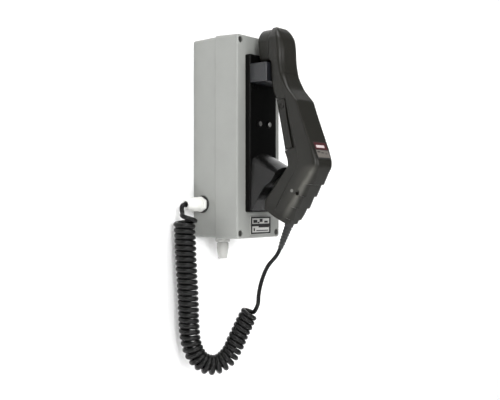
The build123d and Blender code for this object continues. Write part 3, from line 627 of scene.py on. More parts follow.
def tube_mesh(name, line, radii, sides):
    """A closed tube along a line, with its length and its way round as UV."""
    bm = bmesh.new()
    layer = bm.loops.layers.uv.new("UVMap")
    distances = travelled(line)
    rows = []
    for point, distance, (forward, side) in zip(line, distances, carried_frames(line, (0, 0.3, 1))):
        up = forward.cross(side)
        radius = table_value(radii, distance / distances[-1]) * MM
        rows.append([
            bm.verts.new(point + radius * (math.cos(a) * side + math.sin(a) * up))
            for a in (2 * math.pi * index / sides for index in range(sides))])
    for row, (first, second) in enumerate(zip(rows, rows[1:])):
        for index in range(sides):
            after = (index + 1) % sides
            face = bm.faces.new((first[index], first[after], second[after], second[index]))
            face.smooth = True
            corners = ((row, index), (row, index + 1), (row + 1, index + 1), (row + 1, index))
            for loop, (station, way) in zip(face.loops, corners):
                loop[layer].uv = (distances[station], way / sides)
    bm.faces.new(rows[0][::-1])
    bm.faces.new(rows[-1])
    bmesh.ops.recalc_face_normals(bm, faces=bm.faces)
    mesh = bpy.data.meshes.new(name)
    bm.to_mesh(mesh)
    bm.free()
    return mesh


def make_cord():
    """The whole cord, from its gland through the coil to the strain relief."""
    controls = GLAND_LEAD + coil_points() + HANDSET_LEAD
    line = spline_points("cord_line", controls, 3)
    cord = add_piece(
        "curly_cord", tube_mesh("curly_cord", line, JACKET_RADII, CORD_SIDES), "cord_jacket", None,
        ["cord_gland_lead", "cord_coil", "cord_handset_lead"])
    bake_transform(cord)


# ---------------------------------------------------------------- handset
HANDSET_HALF_WIDTH = 19.0
CROWN_CENTRE_Z = 116.0
FOOT_TAPER_START = -92.0
FOOT_TAPER = 6.0 / 17.0
SEAM_LIP = 0.15
FACE_STEPS = 8
CORNER_STEPS = 7

# Outer shell, crown to elbow: outer face (Y, Z), seam (Y, Z), edge radius, corner reach.
OUTER_ARM = [
    ((-109.6, 131.9), (-107.9, 132.5), 4.0, 0.0),
    ((-113.5, 127.0), (-109.6, 127.5), 7.0, 4.0),
    ((-118.0, 118.0), (-111.9, 118.3), 9.0, 5.0),
    ((-120.2, 106.0), (-112.5, 106.0), 9.5, 6.0),
    ((-120.6, 90.0), (-113.1, 91.5), 9.5, 8.0),
    ((-123.0, 74.0), (-117.2, 73.2), 9.0, 8.0),
    ((-130.5, 56.5), (-122.6, 58.0), 4.5, 6.0),
    ((-143.5, 41.0), (-128.8, 40.7), 2.4, 3.0),
    ((-147.5, 29.0), (-132.7, 28.9), 2.2, 6.0),
    ((-156.0, 7.0), (-138.1, 6.4), 2.4, 6.0),
    ((-166.0, -17.0), (-143.3, -16.7), 3.6, 6.0),
    ((-171.8, -31.0), (-146.5, -31.7), 7.0, 4.5),
    ((-172.2, -38.0), (-145.2, -36.7), 7.5, 4.0),
    ((-168.5, -46.0), (-141.7, -42.0), 7.5, 4.0)]
RIB_START = (-168.5, -46.0)
RIB_END = (-128.0, -101.5)
RIB_SEAM_START = (-141.7, -42.0)
RIB_SEAM_END = (-111.2, -90.6)
RIB_COUNT = 4
RIB_RISE = 3.0
RIB_EDGE_RADIUS = 9.0
FOOT_OUTER = (-125.3, -107.3)
FOOT_SEAM = (-108.9, -98.0)
BACK_LINE_Z = 75.0
GROOVE_WIDTH = 0.7
GROOVE_DEPTH = 0.35


def half_width(z):
    """Half the handset's width at a height: round at the crown and tapered at the foot."""
    if z > CROWN_CENTRE_Z:
        return math.sqrt(max(HANDSET_HALF_WIDTH ** 2 - (z - CROWN_CENTRE_Z) ** 2, 0.01))
    if z < FOOT_TAPER_START:
        return HANDSET_HALF_WIDTH + (z - FOOT_TAPER_START) * FOOT_TAPER
    return HANDSET_HALF_WIDTH


def between(first, last, share):
    """The point a share of the way from one to another."""
    return tuple(a + (b - a) * share for a, b in zip(first, last))


def shell_ring(face, seam, radius, side=(), rise=0.0, groove=0.0):
    """One closed section of a shell: side points are (share of depth, inset) from the seam."""
    axis = Vector(face) - Vector(seam)
    depth = axis.length
    axis = axis / depth
    corner_depth = min(radius, 0.9 * depth)
    inset = side[-1][1] if side else 0.0
    widest = half_width(face[1]) - inset
    corner_width = min(radius, 0.9 * widest)
    section = [(0.0, SEAM_LIP), (min(SEAM_LIP, 0.1 * depth), 0.0)]
    section += [(share * depth, step) for share, step in side] or [(0.3 * (depth - corner_depth), 0.0)] * 2
    for step in range(CORNER_STEPS + 1):
        angle = math.pi / 2 * step / CORNER_STEPS
        swell = rise * math.sin(angle) ** 1.5
        reach = depth - corner_depth + (corner_depth - groove + swell) * math.sin(angle)
        side_step = (corner_width - groove) * (1 - math.cos(angle)) - 0.6 * swell * math.cos(angle)
        section.append((reach, inset + groove + side_step))
    right = []
    for reach, step in section:
        place = Vector(seam) + axis * reach
        right.append(((half_width(place.y) - step), place.x, place.y))
    flat = widest - corner_width
    place = Vector(seam) + axis * (depth - groove + rise)
    middle = [
        (flat * 0.98 * (1 - 2 * index / FACE_STEPS), place.x, place.y)
        for index in range(FACE_STEPS + 1)]
    left = [(-x, y, z) for x, y, z in reversed(right)]
    return right + middle + left


def rounded_stations(rows):
    """Sections as (face, seam, radius) vectors, with curves between them of each row's corner reach."""
    return rounded([Vector((*row[0], *row[1], row[2])) for row in rows], [row[3] for row in rows])


def outer_arm_rings():
    """Sections from the crown to the elbow, with the line across the back of the arm."""
    line = rounded_stations(OUTER_ARM)
    rings = []
    for station, following in zip(line, line[1:]):
        rings.append(shell_ring(station[0:2], station[2:4], station[4]))
        if station[1] > BACK_LINE_Z >= following[1]:
            share = (station[1] - BACK_LINE_Z) / (station[1] - following[1])
            step = GROOVE_WIDTH / 2 / (station - following).length
            for offset, groove in ((-step, 0), (-step / 2, 1), (step / 2, 1), (step, 0)):
                mid = station + (following - station) * (share + offset)
                rings.append(shell_ring(mid[0:2], mid[2:4], mid[4], groove=groove * GROOVE_DEPTH))
    return rings


def outer_rib_rings():
    """Sections down the lower outer face: each tooth rises gently and drops back sharply."""
    rings = []
    drop = 0.05
    for tooth in range(RIB_COUNT):
        for share, rise in ((0.0, 0.0), (0.5, 0.55), (1.0 - drop, 1.0)):
            along = (tooth + share) / RIB_COUNT
            face = between(RIB_START, RIB_END, along)
            seam = between(RIB_SEAM_START, RIB_SEAM_END, along)
            rings.append(shell_ring(face, seam, RIB_EDGE_RADIUS, rise=rise * RIB_RISE))
    rings.append(shell_ring(RIB_END, RIB_SEAM_END, RIB_EDGE_RADIUS))
    rings.append(shell_ring(FOOT_OUTER, FOOT_SEAM, RIB_EDGE_RADIUS - 1.5))
    return rings


# The painted highlight band: its place round the corner and half its spread, in degrees from the side.
HIGHLIGHT_ANGLE = 30
HIGHLIGHT_SPREAD = 34
RECESS_PLACE = (-144.5, -70.0)
RECESS_RADIUS = 1.9
RECESS_DEPTH = 3.2


def paint_corner_highlight(mesh):
    """Mark how strongly each point of the grip's outer corners takes the painted highlight, from 0 to 1."""
    along = (Vector(RIB_END) - Vector(RIB_START)).normalized()
    inward = Vector((-along.y, along.x))
    if inward.x < 0:
        inward = -inward
    length = (Vector(RIB_END) - Vector(RIB_START)).length
    painted_highlight = mesh.attributes.new("painted_highlight", "FLOAT", "POINT")
    for vertex in mesh.vertices:
        place = Vector((vertex.co.y, vertex.co.z)) / MM - Vector(RIB_START)
        across = abs(vertex.co.x) / MM - (HANDSET_HALF_WIDTH - RIB_EDGE_RADIUS)
        outward = RIB_EDGE_RADIUS - place.dot(inward)
        angle = math.degrees(math.atan2(outward, across))
        station = place.dot(along) / length
        near = max(0.0, 1 - abs(angle - HIGHLIGHT_ANGLE) / HIGHLIGHT_SPREAD)
        ends = max(0.0, min(1.0, (station + 0.14) / 0.14, (1.05 - station) / 0.3))
        outside = 1.0 if math.hypot(outward, across) > 0.75 * RIB_EDGE_RADIUS else 0.0
        painted_highlight.data[vertex.index].value = near * ends * outside


def make_outer_shell():
    """Outer shell of the handset: arm, ramp, label face, elbow and grip ribs."""
    mesh = loft_mesh("handset_outer_moulding", outer_arm_rings() + outer_rib_rings())
    # Painted highlight band along the grip's outer corners.
    paint_corner_highlight(mesh)
    piece = add_piece("handset_outer_moulding", mesh, "black_handset", "handset", ["handset_outer_shell"])
    hollows = []
    for side in (-1, 1):
        start = (side * (HANDSET_HALF_WIDTH - RECESS_DEPTH), *RECESS_PLACE)
        profile = [(RECESS_RADIUS, 0), (RECESS_RADIUS + 0.6, 5)]
        hollows.append(turned_mesh("recess", profile, start, (side, 0, 0), 24))
    cut(piece, joined("recesses", hollows))
    return piece


# Inner shell in three stretches: inner face (Y, Z), seam (Y, Z), edge radius, corner reach.
INNER_TOP = [
    ((-101.4, 134.9), (-102.0, 134.8), 0.4, 0.0),
    ((-100.6, 132.5), (-107.8, 132.5), 2.0, 0.6),
    ((-100.5, 118.0), (-111.9, 118.3), 2.0, 3.0),
    ((-100.5, 94.5), (-112.9, 94.0), 2.5, 1.0),
    ((-104.2, 89.8), (-113.3, 90.2), 3.0, 2.0),
    ((-105.2, 67.0), (-119.2, 67.5), 3.5, 4.0),
    ((-108.0, 53.0), (-124.4, 53.2), 4.0, 4.0),
    ((-112.1, 44.1), (-127.6, 44.1), 4.0, 0.0)]
LEVER_ROOM = [
    ((-118.9, 44.1), (-127.6, 44.1), (-127.0, 44.1)),
    ((-123.5, 20.5), (-135.0, 20.5), (-132.1, 20.5)),
    ((-127.5, 2.0), (-139.1, 1.0), (-137.7, 2.0)),
    ((-131.2, -19.0), (-142.9, -15.5), (-142.3, -15.2))]
INNER_FOOT = [
    ((-124.5, -19.2), (-142.9, -15.5), 3.5, 0.0),
    ((-128.5, -29.0), (-146.0, -29.0), 4.0, 4.0),
    ((-129.5, -37.0), (-146.2, -35.2), 4.0, 3.0),
    ((-117.5, -50.7), (-137.0, -49.2), 4.0, 3.0),
    ((-105.8, -64.0), (-125.0, -67.5), 4.0, 3.0),
    ((-94.0, -77.5), (-114.5, -84.4), 4.0, 3.0),
    ((-94.0, -87.0), (-108.9, -98.0), 4.0, 0.0)]
CORE_HALF_WIDTH = 16.4


def inner_rings(rows):
    """Sections down one stretch of the inner shell."""
    return [shell_ring(s[0:2], s[2:4], s[4]) for s in rounded_stations(rows)]


def core_rings():
    """Sections through the lever's room, where only a narrower core is left."""
    rings = []
    inset = HANDSET_HALF_WIDTH - CORE_HALF_WIDTH
    for face, seam, edge in LEVER_ROOM:
        share = (Vector(edge) - Vector(seam)).length / (Vector(face) - Vector(seam)).length
        rings.append(shell_ring(face, seam, 1.5, side=[(share, 0.0), (share, inset)]))
    return rings


def make_inner_shell():
    """Inner shell: earpiece seat, arm, the core between the lever's cheeks, and the mouth face."""
    rings = inner_rings(INNER_TOP) + core_rings() + inner_rings(INNER_FOOT)
    mesh = loft_mesh("handset_inner_moulding", rings)
    return add_piece("handset_inner_moulding", mesh, "black_handset", "handset", ["handset_inner_shell"])


# Talk lever: front (Y, Z) and back (Y, Z) of its channel section, top to bottom.
LEVER_SECTIONS = [
    ((-112.3, 43.5), (-126.0, 43.5)), ((-117.2, 20.5), (-129.3, 20.8)),
    ((-121.2, 2.0), (-132.9, 2.5)), ((-125.2, -18.0), (-137.3, -15.3))]
LEVER_CORNER = 4.0
LEVER_EDGE = 0.5
LEVER_FRONT = 3.0
LEVER_SIDE = 2.0
LEVER_PIN = (-121.7, 34.7)
LEVER_PIN_HOLE = 1.75
LEVER_BORE_END = 18.8
PIVOT_RING = (2.5, 3.6)
PIVOT_RING_DEPTH = 0.9


def lever_ring(front, back, shrink=0.0):
    """Channel section: round the outside from the right cheek to the left, and back inside."""
    axis = Vector(front) - Vector(back)
    depth = axis.length - shrink
    axis = axis.normalized()
    outside = HANDSET_HALF_WIDTH - shrink
    outline = [(0.0, outside - 0.3), (0.3, outside), (depth - LEVER_CORNER, outside)]
    for step in range(1, 6):
        angle = math.pi / 2 * step / 5
        outline.append((
            depth - LEVER_CORNER * (1 - math.sin(angle)),
            outside - LEVER_CORNER * (1 - math.cos(angle))))
    inside = HANDSET_HALF_WIDTH - LEVER_SIDE
    inner_depth = (Vector(front) - Vector(back)).length - LEVER_FRONT
    hollow = [(inner_depth, inside - 1.0), (inner_depth - 1.0, inside), (0.0, inside)]
    path = outline + [(reach, -x) for reach, x in reversed(outline)]
    path += [(reach, -x) for reach, x in reversed(hollow)] + hollow
    ring = []
    for reach, x in path:
        place = Vector(back) + axis * reach
        ring.append((x, place.x, place.y))
    return ring


def make_lever():
    """Talk lever, bored for its pin, with a groove round the pivot."""
    line = rounded([Vector((*front, *back)) for front, back in LEVER_SECTIONS], [0, 6, 6, 0], 4)
    rings = [lever_ring(s[0:2], s[2:4]) for s in line]
    mesh = loft_mesh("talk_lever_moulding", rings)
    lever = add_piece("talk_lever_moulding", mesh, "black_lever", "ptt_lever", ["ptt_lever"])
    soften(lever, LEVER_EDGE)
    bore = [(LEVER_PIN_HOLE, -LEVER_BORE_END), (LEVER_PIN_HOLE, LEVER_BORE_END)]
    tools = [turned_mesh("lever_bore", bore, (0, *LEVER_PIN), (1, 0, 0), 32)]
    start = HANDSET_HALF_WIDTH - PIVOT_RING_DEPTH
    inner, outer = PIVOT_RING
    ring = [(inner, start), (outer, start), (outer, start + 2), (inner, start + 2), (inner, start)]
    for side in (-1, 1):
        tools.append(turned_mesh("ring", ring, (0, *LEVER_PIN), (side, 0, 0), 32))
    cut(lever, joined("lever_tools", tools))
    return lever


SPRING_SEAT = (0, -129.3, -10.0)
SPRING_AXIS = (0, 0.98, -0.196)
SPRING_HEIGHT = 2.3
SPRING_COIL_RADIUS = 3.7
SPRING_WIRE_RADIUS = 0.28
SPRING_TURNS = 2.0
SPRING_POINTS = 48


def make_spring():
    """Return spring under the lever, as one fixed mesh on the handset."""
    place = frame_at(SPRING_SEAT, SPRING_AXIS)
    line = []
    for index in range(SPRING_POINTS + 1):
        share = index / SPRING_POINTS
        angle = 2 * math.pi * SPRING_TURNS * share
        radius = SPRING_COIL_RADIUS * (1 - 0.3 * share)
        height = SPRING_WIRE_RADIUS + (SPRING_HEIGHT - 2 * SPRING_WIRE_RADIUS) * share
        line.append(place @ (Vector((radius * math.cos(angle), radius * math.sin(angle), height)) * MM))
    mesh = tube_mesh("lever_spring", line, [(0, SPRING_WIRE_RADIUS), (1, SPRING_WIRE_RADIUS)], 8)
    spring = add_piece("lever_spring", mesh, "steel_screw", "handset", ["ptt_spring"])
    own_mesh(spring)


def cut(piece, tool_mesh):
    """Take a tool's shape out of a piece."""
    tool = bpy.data.objects.new("tool", tool_mesh)
    bpy.context.scene.collection.objects.link(tool)
    boolean = piece.modifiers.new("cut", "BOOLEAN")
    boolean.object = tool
    boolean.operation = "DIFFERENCE"
    boolean.solver = "EXACT"
    bake_modifiers(piece)
    mark_edges(piece.data)
    bpy.data.objects.remove(tool)


EAR_RADIUS = 17.6
EAR_CENTRE_Z = 115.0
EAR_FOOT_Z = 92.0
EAR_FOOT_INSET = 3.0
EAR_BACK = -100.4
EAR_FRONT = -83.5
EAR_EDGE = 3.0
SOUND_HOLE_CIRCLE = 6.0
SOUND_HOLE_RADIUS = 1.2
SOUND_HOLE_COUNT = 6
SOUND_HOLE_DROP = 3.0


def ear_outline(inset):
    """Arch with a squarer foot, in (X, Z)."""
    radius = EAR_RADIUS - inset
    steps = 32
    points = []
    for step in range(steps + 1):
        angle = math.pi * step / steps
        points.append((radius * math.cos(angle), EAR_CENTRE_Z + radius * math.sin(angle)))
    foot_half = radius - EAR_FOOT_INSET
    foot_z = EAR_FOOT_Z + inset
    foot = rounded(
        [(-radius, EAR_CENTRE_Z), (-foot_half, foot_z), (foot_half, foot_z), (radius, EAR_CENTRE_Z)],
        [0, 4, 4, 0], 4)
    return points + [tuple(p) for p in foot[1:-1]]


def make_ear_cap():
    """Earpiece cover with rounded edges, a dished face and a ring of sound holes."""
    rings = [[(x, EAR_BACK, z) for x, z in ear_outline(0)]]
    for step in range(7):
        angle = math.pi / 2 * step / 6
        inset = EAR_EDGE * (1 - math.cos(angle))
        y = EAR_FRONT - EAR_EDGE * (1 - math.sin(angle))
        rings.append([(x, y, z) for x, z in ear_outline(inset)])
    for inset, sink in ((5.0, 0.0), (6.0, 0.7), (9.0, 1.0)):
        rings.append([(x, EAR_FRONT - sink, z) for x, z in ear_outline(inset)])
    piece = add_piece(
        "earpiece_cover", loft_mesh("earpiece_cover", rings), "black_handset", "handset", ["earpiece_cap"])
    holes = []
    for index in range(SOUND_HOLE_COUNT):
        angle = 2 * math.pi * index / SOUND_HOLE_COUNT
        x = SOUND_HOLE_CIRCLE * math.cos(angle)
        z = EAR_CENTRE_Z - SOUND_HOLE_DROP + SOUND_HOLE_CIRCLE * math.sin(angle)
        profile = [(SOUND_HOLE_RADIUS, 0), (SOUND_HOLE_RADIUS, 8)]
        holes.append(turned_mesh("hole", profile, (x, EAR_FRONT - 4, z), (0, 1, 0), 20))
    cut(piece, joined("sound_holes", holes))
    return piece


RELIEF_TOP = (0, -120.3, -105.0)
RELIEF_END = (0, -105.7, -136.6)
RELIEF_RADII = (5.2, 3.3)
RELIEF_RIBS = 6
RELIEF_RIB_START = 7.0
RELIEF_RIB_PITCH = 4.0
# One rib: share of the pitch and height over the taper.
RELIEF_RIB_SHAPE = [(0.0, -0.55), (0.12, 0.1), (0.3, 0.3), (0.5, 0.3), (0.62, 0.1), (0.72, -0.55)]


def make_strain_relief():
    """Tapered rubber sleeve with a collar and rounded ribs."""
    axis = Vector(RELIEF_END) - Vector(RELIEF_TOP)
    length = axis.length
    wide, narrow = RELIEF_RADII
    taper = (wide - narrow) / length
    profile = [(4.0, 0.0), (wide + 0.3, 0.0), (wide + 0.35, 4.5), (wide - 0.5, 5.4)]
    for index in range(RELIEF_RIBS):
        start = RELIEF_RIB_START + RELIEF_RIB_PITCH * index
        for share, rise in RELIEF_RIB_SHAPE:
            distance = start + share * RELIEF_RIB_PITCH
            profile.append((wide - taper * distance + rise, distance))
    profile += [(narrow + 0.1, length - 1.0), (narrow - 0.4, length), (2.4, length)]
    mesh = turned_mesh("strain_relief_sleeve", profile, RELIEF_TOP, axis, 40)
    return add_piece("strain_relief_sleeve", mesh, "black_seal", "handset", ["strain_relief"])


# ---------------------------------------------------------------- cradle
WEDGE_HALF_WIDTH = 24.5
# The wedge's sections: depth, crown height, edge height and underside height.
WEDGE_SECTIONS = [
    (79.4, -18.0, -32.5, -90.8), (88.0, -22.7, -35.7, -77.9), (98.0, -28.1, -39.4, -62.8),
    (109.5, -34.4, -43.6, -55.4), (114.2, -37.0, -45.4, -49.0), (115.6, -37.9, -45.9, -47.2)]
ARCH_STEPS = 20


def wedge_ring(depth, crown, edge, underside):
    """Arched section with softened corners."""
    rise = crown - edge
    radius = (WEDGE_HALF_WIDTH ** 2 + rise ** 2) / (2 * rise)
    sweep = math.asin(WEDGE_HALF_WIDTH / radius)
    arch = []
    for step in range(ARCH_STEPS + 1):
        angle = sweep * (1 - 2 * step / ARCH_STEPS)
        arch.append((-radius * math.sin(angle), crown - radius * (1 - math.cos(angle))))
    foot = min(underside, edge - 1.2)
    outline = [(0, foot), (-WEDGE_HALF_WIDTH, foot)] + arch + [(WEDGE_HALF_WIDTH, foot), (0, foot)]
    reaches = [0, 1.5, 1.6] + [0.01] * (len(arch) - 2) + [1.6, 1.5, 0]
    ring = rounded(outline, reaches, 3)[:-1]
    return [(x, -depth, z) for x, z in ring]


def make_wedge():
    """Arched rest for the mouthpiece end, with a rounded nose."""
    stations = [Vector(row) for row in WEDGE_SECTIONS]
    line = rounded(stations, [0, 3, 4, 3, 1, 0], 4)
    rings = [wedge_ring(*station) for station in line]
    return add_piece(
        "mouthpiece_wedge", loft_mesh("mouthpiece_wedge", rings), "black_cradle", "housing",
        ["mouthpiece_rest"], finish="wedge_plastic")


TRAY_SCREWS = [(-8.5, 16.8), (10.5, 16.8)]
# Radius of the painted glint disc on each cradle screw.
SCREW_GLINT_RADIUS = 3.0
# From inside the screw's head to just over it: radius and distance.
SCREW_GLINT = [(SCREW_GLINT_RADIUS, -0.3), (SCREW_GLINT_RADIUS, 0.05), (SCREW_GLINT_RADIUS - 0.5, 0.15)]


def make_screw_glints():
    """Painted glints: bright steel discs in the middles of the two black cradle screws' heads."""
    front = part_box("tray_screws")[0][1] / MM
    meshes = [
        turned_mesh("screw_glint", SCREW_GLINT, (x, front, z), (0, -1, 0), 32) for x, z in TRAY_SCREWS]
    return add_piece("tray_screw_glints", joined("tray_screw_glints", meshes), "steel_screw", "housing")


PARTING_DEPTH = 38.0
PARTING_LINE = 1.0
PARTING_HALF_SIZE = (42.5, 125.0)
PARTING_CORNER = 4.0
# How far the black band stands proud of the box side, where it paints the shadow line at the parting.
PARTING_PROUD = 0.06
PARTING_REACH = 2.0


def parting_ring(inset, depth):
    """Rounded rectangle round the enclosure at a depth."""
    half_x, half_z = (size - inset for size in PARTING_HALF_SIZE)
    foot = (0, -half_z)
    corners = [foot, (half_x, -half_z), (half_x, half_z), (-half_x, half_z), (-half_x, -half_z), foot]
    outline = rounded(corners, [0] + [PARTING_CORNER * 1.2] * 4 + [0], 6)[:-1]
    return [(x, -depth, z) for x, z in outline]


def make_parting_seal_and_shade_line():
    """The seal between the two halves of the enclosure, its edge standing just proud in the gap as a black
    band: partly the real seal, partly painted shade for the shadow line at the lid's step.
    """
    back, front = PARTING_DEPTH - PARTING_LINE, PARTING_DEPTH
    outside, inside = -PARTING_PROUD, PARTING_REACH
    rows = ((outside, back), (outside, front), (inside, front), (inside, back), (outside, back))
    rings = [parting_ring(inset, depth) for inset, depth in rows]
    mesh = loft_mesh("parting_seal_and_shade_line", rings, (False, False))
    return add_piece("parting_seal_and_shade_line", mesh, "black_seal", "housing", ["lid_gasket"])


# ---------------------------------------------------------------- cable glands
# Name, slot, place, axis, radii of the nut, its tip and its bore, and length.
GLANDS = [
    ("cord_gland", "white_gland", (-42.3, -15.5, -83.0), (-1, 0, 0), 8.8, 6.6, 3.6, 30.8),
    ("line_gland", "pale_gland", (-4.0, -15.5, -124.8), (0, 0, -1), 7.6, 6.0, 4.3, 28.0)]
GLAND_GASKET = 1.5
GLAND_HEX_LENGTH = 5.5
GLAND_HEX_RADIUS = 9.5
GLAND_STUB_RADIUS = 5.7
GLAND_DOME_LENGTH = 12.0
GLAND_STUB_COVERED = 16.0
GLAND_FLUTES = 18
# The sealing ring's outline: radius and distance from the enclosure's face.
SEAL_PROFILE = [
    (8.2, 0.02), (10.4, 0.02), (10.9, 0.4), (10.9, 1.0), (10.3, 1.46), (8.2, 1.46), (8.2, 0.02)]


def gland_body_mesh(name, place, hex_radius, stub_radius, length):
    """Hexagon with chamfered corners, and its threaded stub."""
    rings = []
    turn = math.pi / 6
    top = GLAND_GASKET + GLAND_HEX_LENGTH
    for radius, height in (
            (hex_radius - 1.4, GLAND_GASKET), (hex_radius, GLAND_GASKET + 0.7), (hex_radius, top - 0.7),
            (hex_radius - 1.4, top), (stub_radius, top), (stub_radius, length)):
        ring = []
        for index in range(48):
            angle = 2 * math.pi * index / 48
            flat = (angle + turn) % (math.pi / 3) - math.pi / 6
            reach = min(radius, hex_radius * math.cos(math.pi / 6) / math.cos(flat) + 0.25)
            ring.append((reach * math.cos(angle), reach * math.sin(angle), height))
        rings.append(ring)
    mesh = loft_mesh(name, rings)
    mesh.transform(place)
    return mesh


def gland_nut_mesh(name, place, radius, tip_radius, bore_radius, length, material):
    """Dome nut with grip flutes round its skirt."""
    start = GLAND_GASKET + GLAND_HEX_LENGTH + 0.5
    shoulder = length - GLAND_DOME_LENGTH
    skirt_radius = radius - 0.3
    profile = [
        (bore_radius, start), (skirt_radius - 0.5, start), (skirt_radius, start + 0.6),
        (skirt_radius, shoulder)]
    for step in range(1, 9):
        share = step / 8
        bulge = math.sin(share * math.pi / 2) ** 1.6
        height = shoulder + (length - 0.6 - shoulder) * share
        profile.append((skirt_radius - (skirt_radius - tip_radius) * bulge, height))
    profile += [(tip_radius - 0.7, length), (bore_radius, length), (bore_radius, length - 3)]
    skirt = turned_mesh(name, profile, (0, 0, 0), (0, 0, 1), 56)
    skirt.transform(place)
    flute_length = shoulder - start - 1.0
    middle = (radius - 0.45, 0, start + 0.8 + flute_length / 2)
    flute = block_mesh("flute", (1.0, 1.3, flute_length), middle, 0.35)
    flutes = repeated_mesh(flute, material, place, GLAND_FLUTES, turn=(0, 0, 2 * math.pi / GLAND_FLUTES))
    return joined(name, [skirt, flutes])


def make_gland(name, slot, origin, axis, nut_radius, tip_radius, bore_radius, length):
    """One cable gland, standing on the enclosure's face."""
    place = frame_at(origin, axis, (0, 1, 0))
    seal = turned_mesh(name + "_seal", SEAL_PROFILE, (0, 0, 0), (0, 0, 1), 56)
    seal.transform(place)
    add_piece(name + "_seal_ring", seal, "black_seal", "housing", [name + "_gasket"])
    stub_end = length - GLAND_STUB_COVERED
    body = gland_body_mesh(name + "_hexagon", place, GLAND_HEX_RADIUS, GLAND_STUB_RADIUS, stub_end)
    add_piece(name + "_hexagon", body, slot, "housing", [name + "_body"])
    nut = gland_nut_mesh(
        name + "_dome_nut", place, nut_radius, tip_radius, bore_radius, length, MATERIALS[slot])
    add_piece(name + "_dome_nut", nut, slot, "housing", [name + "_nut"])


def make_glands():
    """The cord's gland on the left side and the line's gland underneath."""
    for row in GLANDS:
        make_gland(*row)


# ---------------------------------------------------------------- plate and label
PLATE_CENTRE = (3.0, -109.3)
PLATE_SIZE = (40.0, 22.0)
PLATE_FACE_DEPTH = 72.8
PLATE_THICKNESS = 0.78
PRINT_THICKNESS = 0.12
PRINT_EDGE = 0.04
# Printed bars on the plate: centre X, centre Y, width and height from the plate's middle.
PLATE_BARS = [
    (0, 0.4, 33.9, 3.0), (6.0, -1.9, 21.3, 1.8), (-11.0, 5.0, 8.0, 3.8), (0.5, 6.0, 6.0, 4.0),
    (10.5, 4.2, 7.0, 2.4), (-4.6, 3.4, 3.6, 1.8), (3.0, -6.6, 24.0, 1.2), (-13.2, -5.2, 2.6, 3.8)]


def printed_bars(name, rows, place, thickness, ink, slot, body):
    """Flat printed bars: (centre x, centre y, width, height) in the plane of a local frame."""
    meshes = []
    for x, y, wide, high in rows:
        mesh = block_mesh(name, (wide, high, thickness), (x, y, thickness / 2), PRINT_EDGE)
        mesh.transform(place)
        meshes.append(mesh)
    return add_piece(name, joined(name, meshes), slot, body, finish=ink)


def make_nameplate():
    """Bare metal plate with a black printed frame and blank bars."""
    centre = (PLATE_CENTRE[0], -PLATE_FACE_DEPTH, PLATE_CENTRE[1])
    place = frame_at(centre, (0, -1, 0))
    middle = (0, 0, -PLATE_THICKNESS / 2)
    sheet = block_mesh("nameplate_sheet", (*PLATE_SIZE, PLATE_THICKNESS), middle, 0.18)
    sheet.transform(place)
    add_piece("nameplate_sheet", sheet, "plate", "housing", ["nameplate"])
    half_x, half_y = PLATE_SIZE[0] / 2 - 1.6, PLATE_SIZE[1] / 2 - 1.3
    border = [(0, y, 2 * half_x + 2.6, 2.0) for y in (half_y, -half_y)]
    border += [(x, 0, 2.8, 2 * half_y - 2.1) for x in (-half_x, half_x)]
    printed_bars(
        "nameplate_print", border + PLATE_BARS, place, PRINT_THICKNESS, "print_black", "plate", "housing")


LABEL_LOWER = (-171.1, -29.3)
LABEL_UPPER = (-162.8, -9.3)
LABEL_WIDTH = 27.0
LABEL_THICKNESS = 0.5
LABEL_PROUD = 0.28
# Printed blocks: name, ink, thickness, and centre X, centre from the top edge, width and height.
LABEL_BLOCKS = [
    ("label_red_block", "print_red", 0.1, (0, 5.2, 25.0, 9.0)),
    ("label_white_bar", "print_white", 0.16, (-1.0, 5.8, 17.0, 3.4)),
    ("label_grey_block", "print_grey", 0.1, (0, 15.4, 25.0, 9.6))]
LABEL_MARKS = 3
LABEL_MARK_SIZE = (5.5, 1.6, 0.14)
LABEL_MARK_STEP = (7.4, -1.1, 0)
LABEL_MARK_START = (-8.0, 12.9)


def make_label():
    """Dark film on the outer face, with a red block, a white bar and blank grey lines."""
    up = Vector((0, LABEL_UPPER[0] - LABEL_LOWER[0], LABEL_UPPER[1] - LABEL_LOWER[1]))
    out = Vector((0, -up.z, up.y)).normalized()
    middle = (0, (LABEL_UPPER[0] + LABEL_LOWER[0]) / 2, (LABEL_UPPER[1] + LABEL_LOWER[1]) / 2)
    place = frame_at(Vector(middle) + out * LABEL_PROUD, out)
    film_size = (LABEL_WIDTH, up.length + 0.4, LABEL_THICKNESS)
    film = block_mesh("label_film", film_size, (0, 0, -LABEL_THICKNESS / 2), 0.1)
    film.transform(place)
    add_piece("label_film", film, "label", "handset", ["handset_label"])
    top = up.length / 2
    for name, ink, thickness, (x, fall, wide, high) in LABEL_BLOCKS:
        printed_bars(name, [(x, top - fall, wide, high)], place, thickness, ink, "label", "handset")
    mark = block_mesh("label_mark", LABEL_MARK_SIZE, (0, 0, LABEL_MARK_SIZE[2] / 2), 0.03)
    start = Matrix.Translation(Vector((LABEL_MARK_START[0], top - LABEL_MARK_START[1], 0)) * MM)
    marks = repeated_mesh(
        mark, MATERIALS["print_black"], place @ start, LABEL_MARKS, step=LABEL_MARK_STEP, shrink=0.12)
    add_piece("label_marks", marks, "label", "handset", finish="print_black")


# ---------------------------------------------------------------- assembly
make_camera()
make_cord()
dress_cad_nodes()
make_wedge()
make_screw_glints()
make_parting_seal_and_shade_line()
make_glands()
make_nameplate()
make_label()
make_outer_shell()
make_inner_shell()
make_lever()
make_spring()
make_ear_cap()
make_strain_relief()


# ---------------------------------------------------------------- studio
def add_softbox(name, place, target, size, power):
    """A square area lamp that faces a point."""
    lamp = bpy.data.objects.new(name, bpy.data.lights.new(name, "AREA"))
    bpy.context.scene.collection.objects.link(lamp)
    lamp.data.size = size
    lamp.data.energy = power
    lamp.location = place
    lamp.rotation_euler = (Vector(target) - Vector(place)).to_track_quat("-Z", "Y").to_euler()


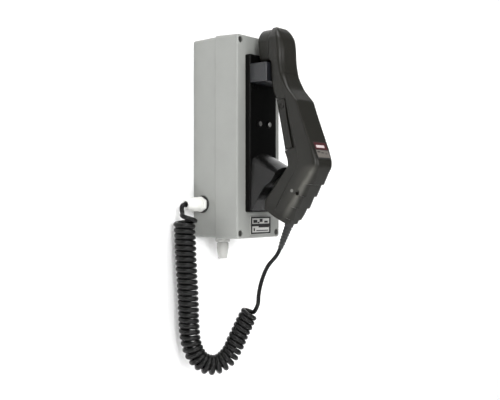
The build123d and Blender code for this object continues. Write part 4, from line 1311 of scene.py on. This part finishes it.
def make_stage_material():
    """Plain pale surface with a faint glow, clear from behind so that it never hides the object."""
    material = new_material("stage_white", (0.93, 0.93, 0.93), 0.9, specular=0.0)
    shader_of(material).inputs["Emission Color"].default_value = (1, 1, 1, 1)
    shader_of(material).inputs["Emission Strength"].default_value = WALL_GLOW
    tree = material.node_tree
    clear = tree.nodes.new("ShaderNodeBsdfTransparent")
    mix = tree.nodes.new("ShaderNodeMixShader")
    side = tree.nodes.new("ShaderNodeNewGeometry")
    tree.links.new(side.outputs["Backfacing"], mix.inputs["Fac"])
    tree.links.new(shader_of(material).outputs["BSDF"], mix.inputs[1])
    tree.links.new(clear.outputs["BSDF"], mix.inputs[2])
    tree.links.new(mix.outputs["Shader"], tree.nodes["Material Output"].inputs["Surface"])
    return material


def add_stage(name, corners, material):
    """A flat panel of the studio."""
    mesh = bpy.data.meshes.new(name)
    mesh.from_pydata(corners, [], [(0, 1, 2, 3)])
    mesh.materials.append(material)
    panel = bpy.data.objects.new(name, mesh)
    bpy.context.scene.collection.objects.link(panel)


LAMP_TARGET = (0, -0.06, -0.05)
# Name, place, size and power.
LAMPS = [
    ("key_lamp", (-1.0, -1.55, 0.3), 0.5, 18),
    ("top_lamp", (-0.1, -0.8, 1.5), 1.0, 24),
    ("front_lamp", (0.4, -1.8, 0.15), 0.8, 12),
    ("low_lamp", (-0.87, -0.44, -0.66), 0.35, 3.5)]
SKY_STRENGTH = 0.12
WALL_GLOW = 0.05
WALL_Y = 0.0006
STAGE_REACH = 3.0
FLOOR_Z = -0.75


def make_studio():
    """White wall, pale floor and soft lamps."""
    white = make_stage_material()
    r = STAGE_REACH
    y, z = WALL_Y, FLOOR_Z
    add_stage("wall", [(-r, y, z), (r, y, z), (r, y, r), (-r, y, r)], white)
    add_stage("floor", [(-r, -r, z), (r, -r, z), (r, y, z), (-r, y, z)], white)
    for name, place, size, power in LAMPS:
        add_softbox(name, place, LAMP_TARGET, size, power)
    world = bpy.data.worlds.new("studio")
    world.use_nodes = True
    world.node_tree.nodes["Background"].inputs["Color"].default_value = (1, 1, 1, 1)
    world.node_tree.nodes["Background"].inputs["Strength"].default_value = SKY_STRENGTH
    bpy.context.scene.world = world
    bpy.context.scene.view_settings.view_transform = "Standard"


make_studio()
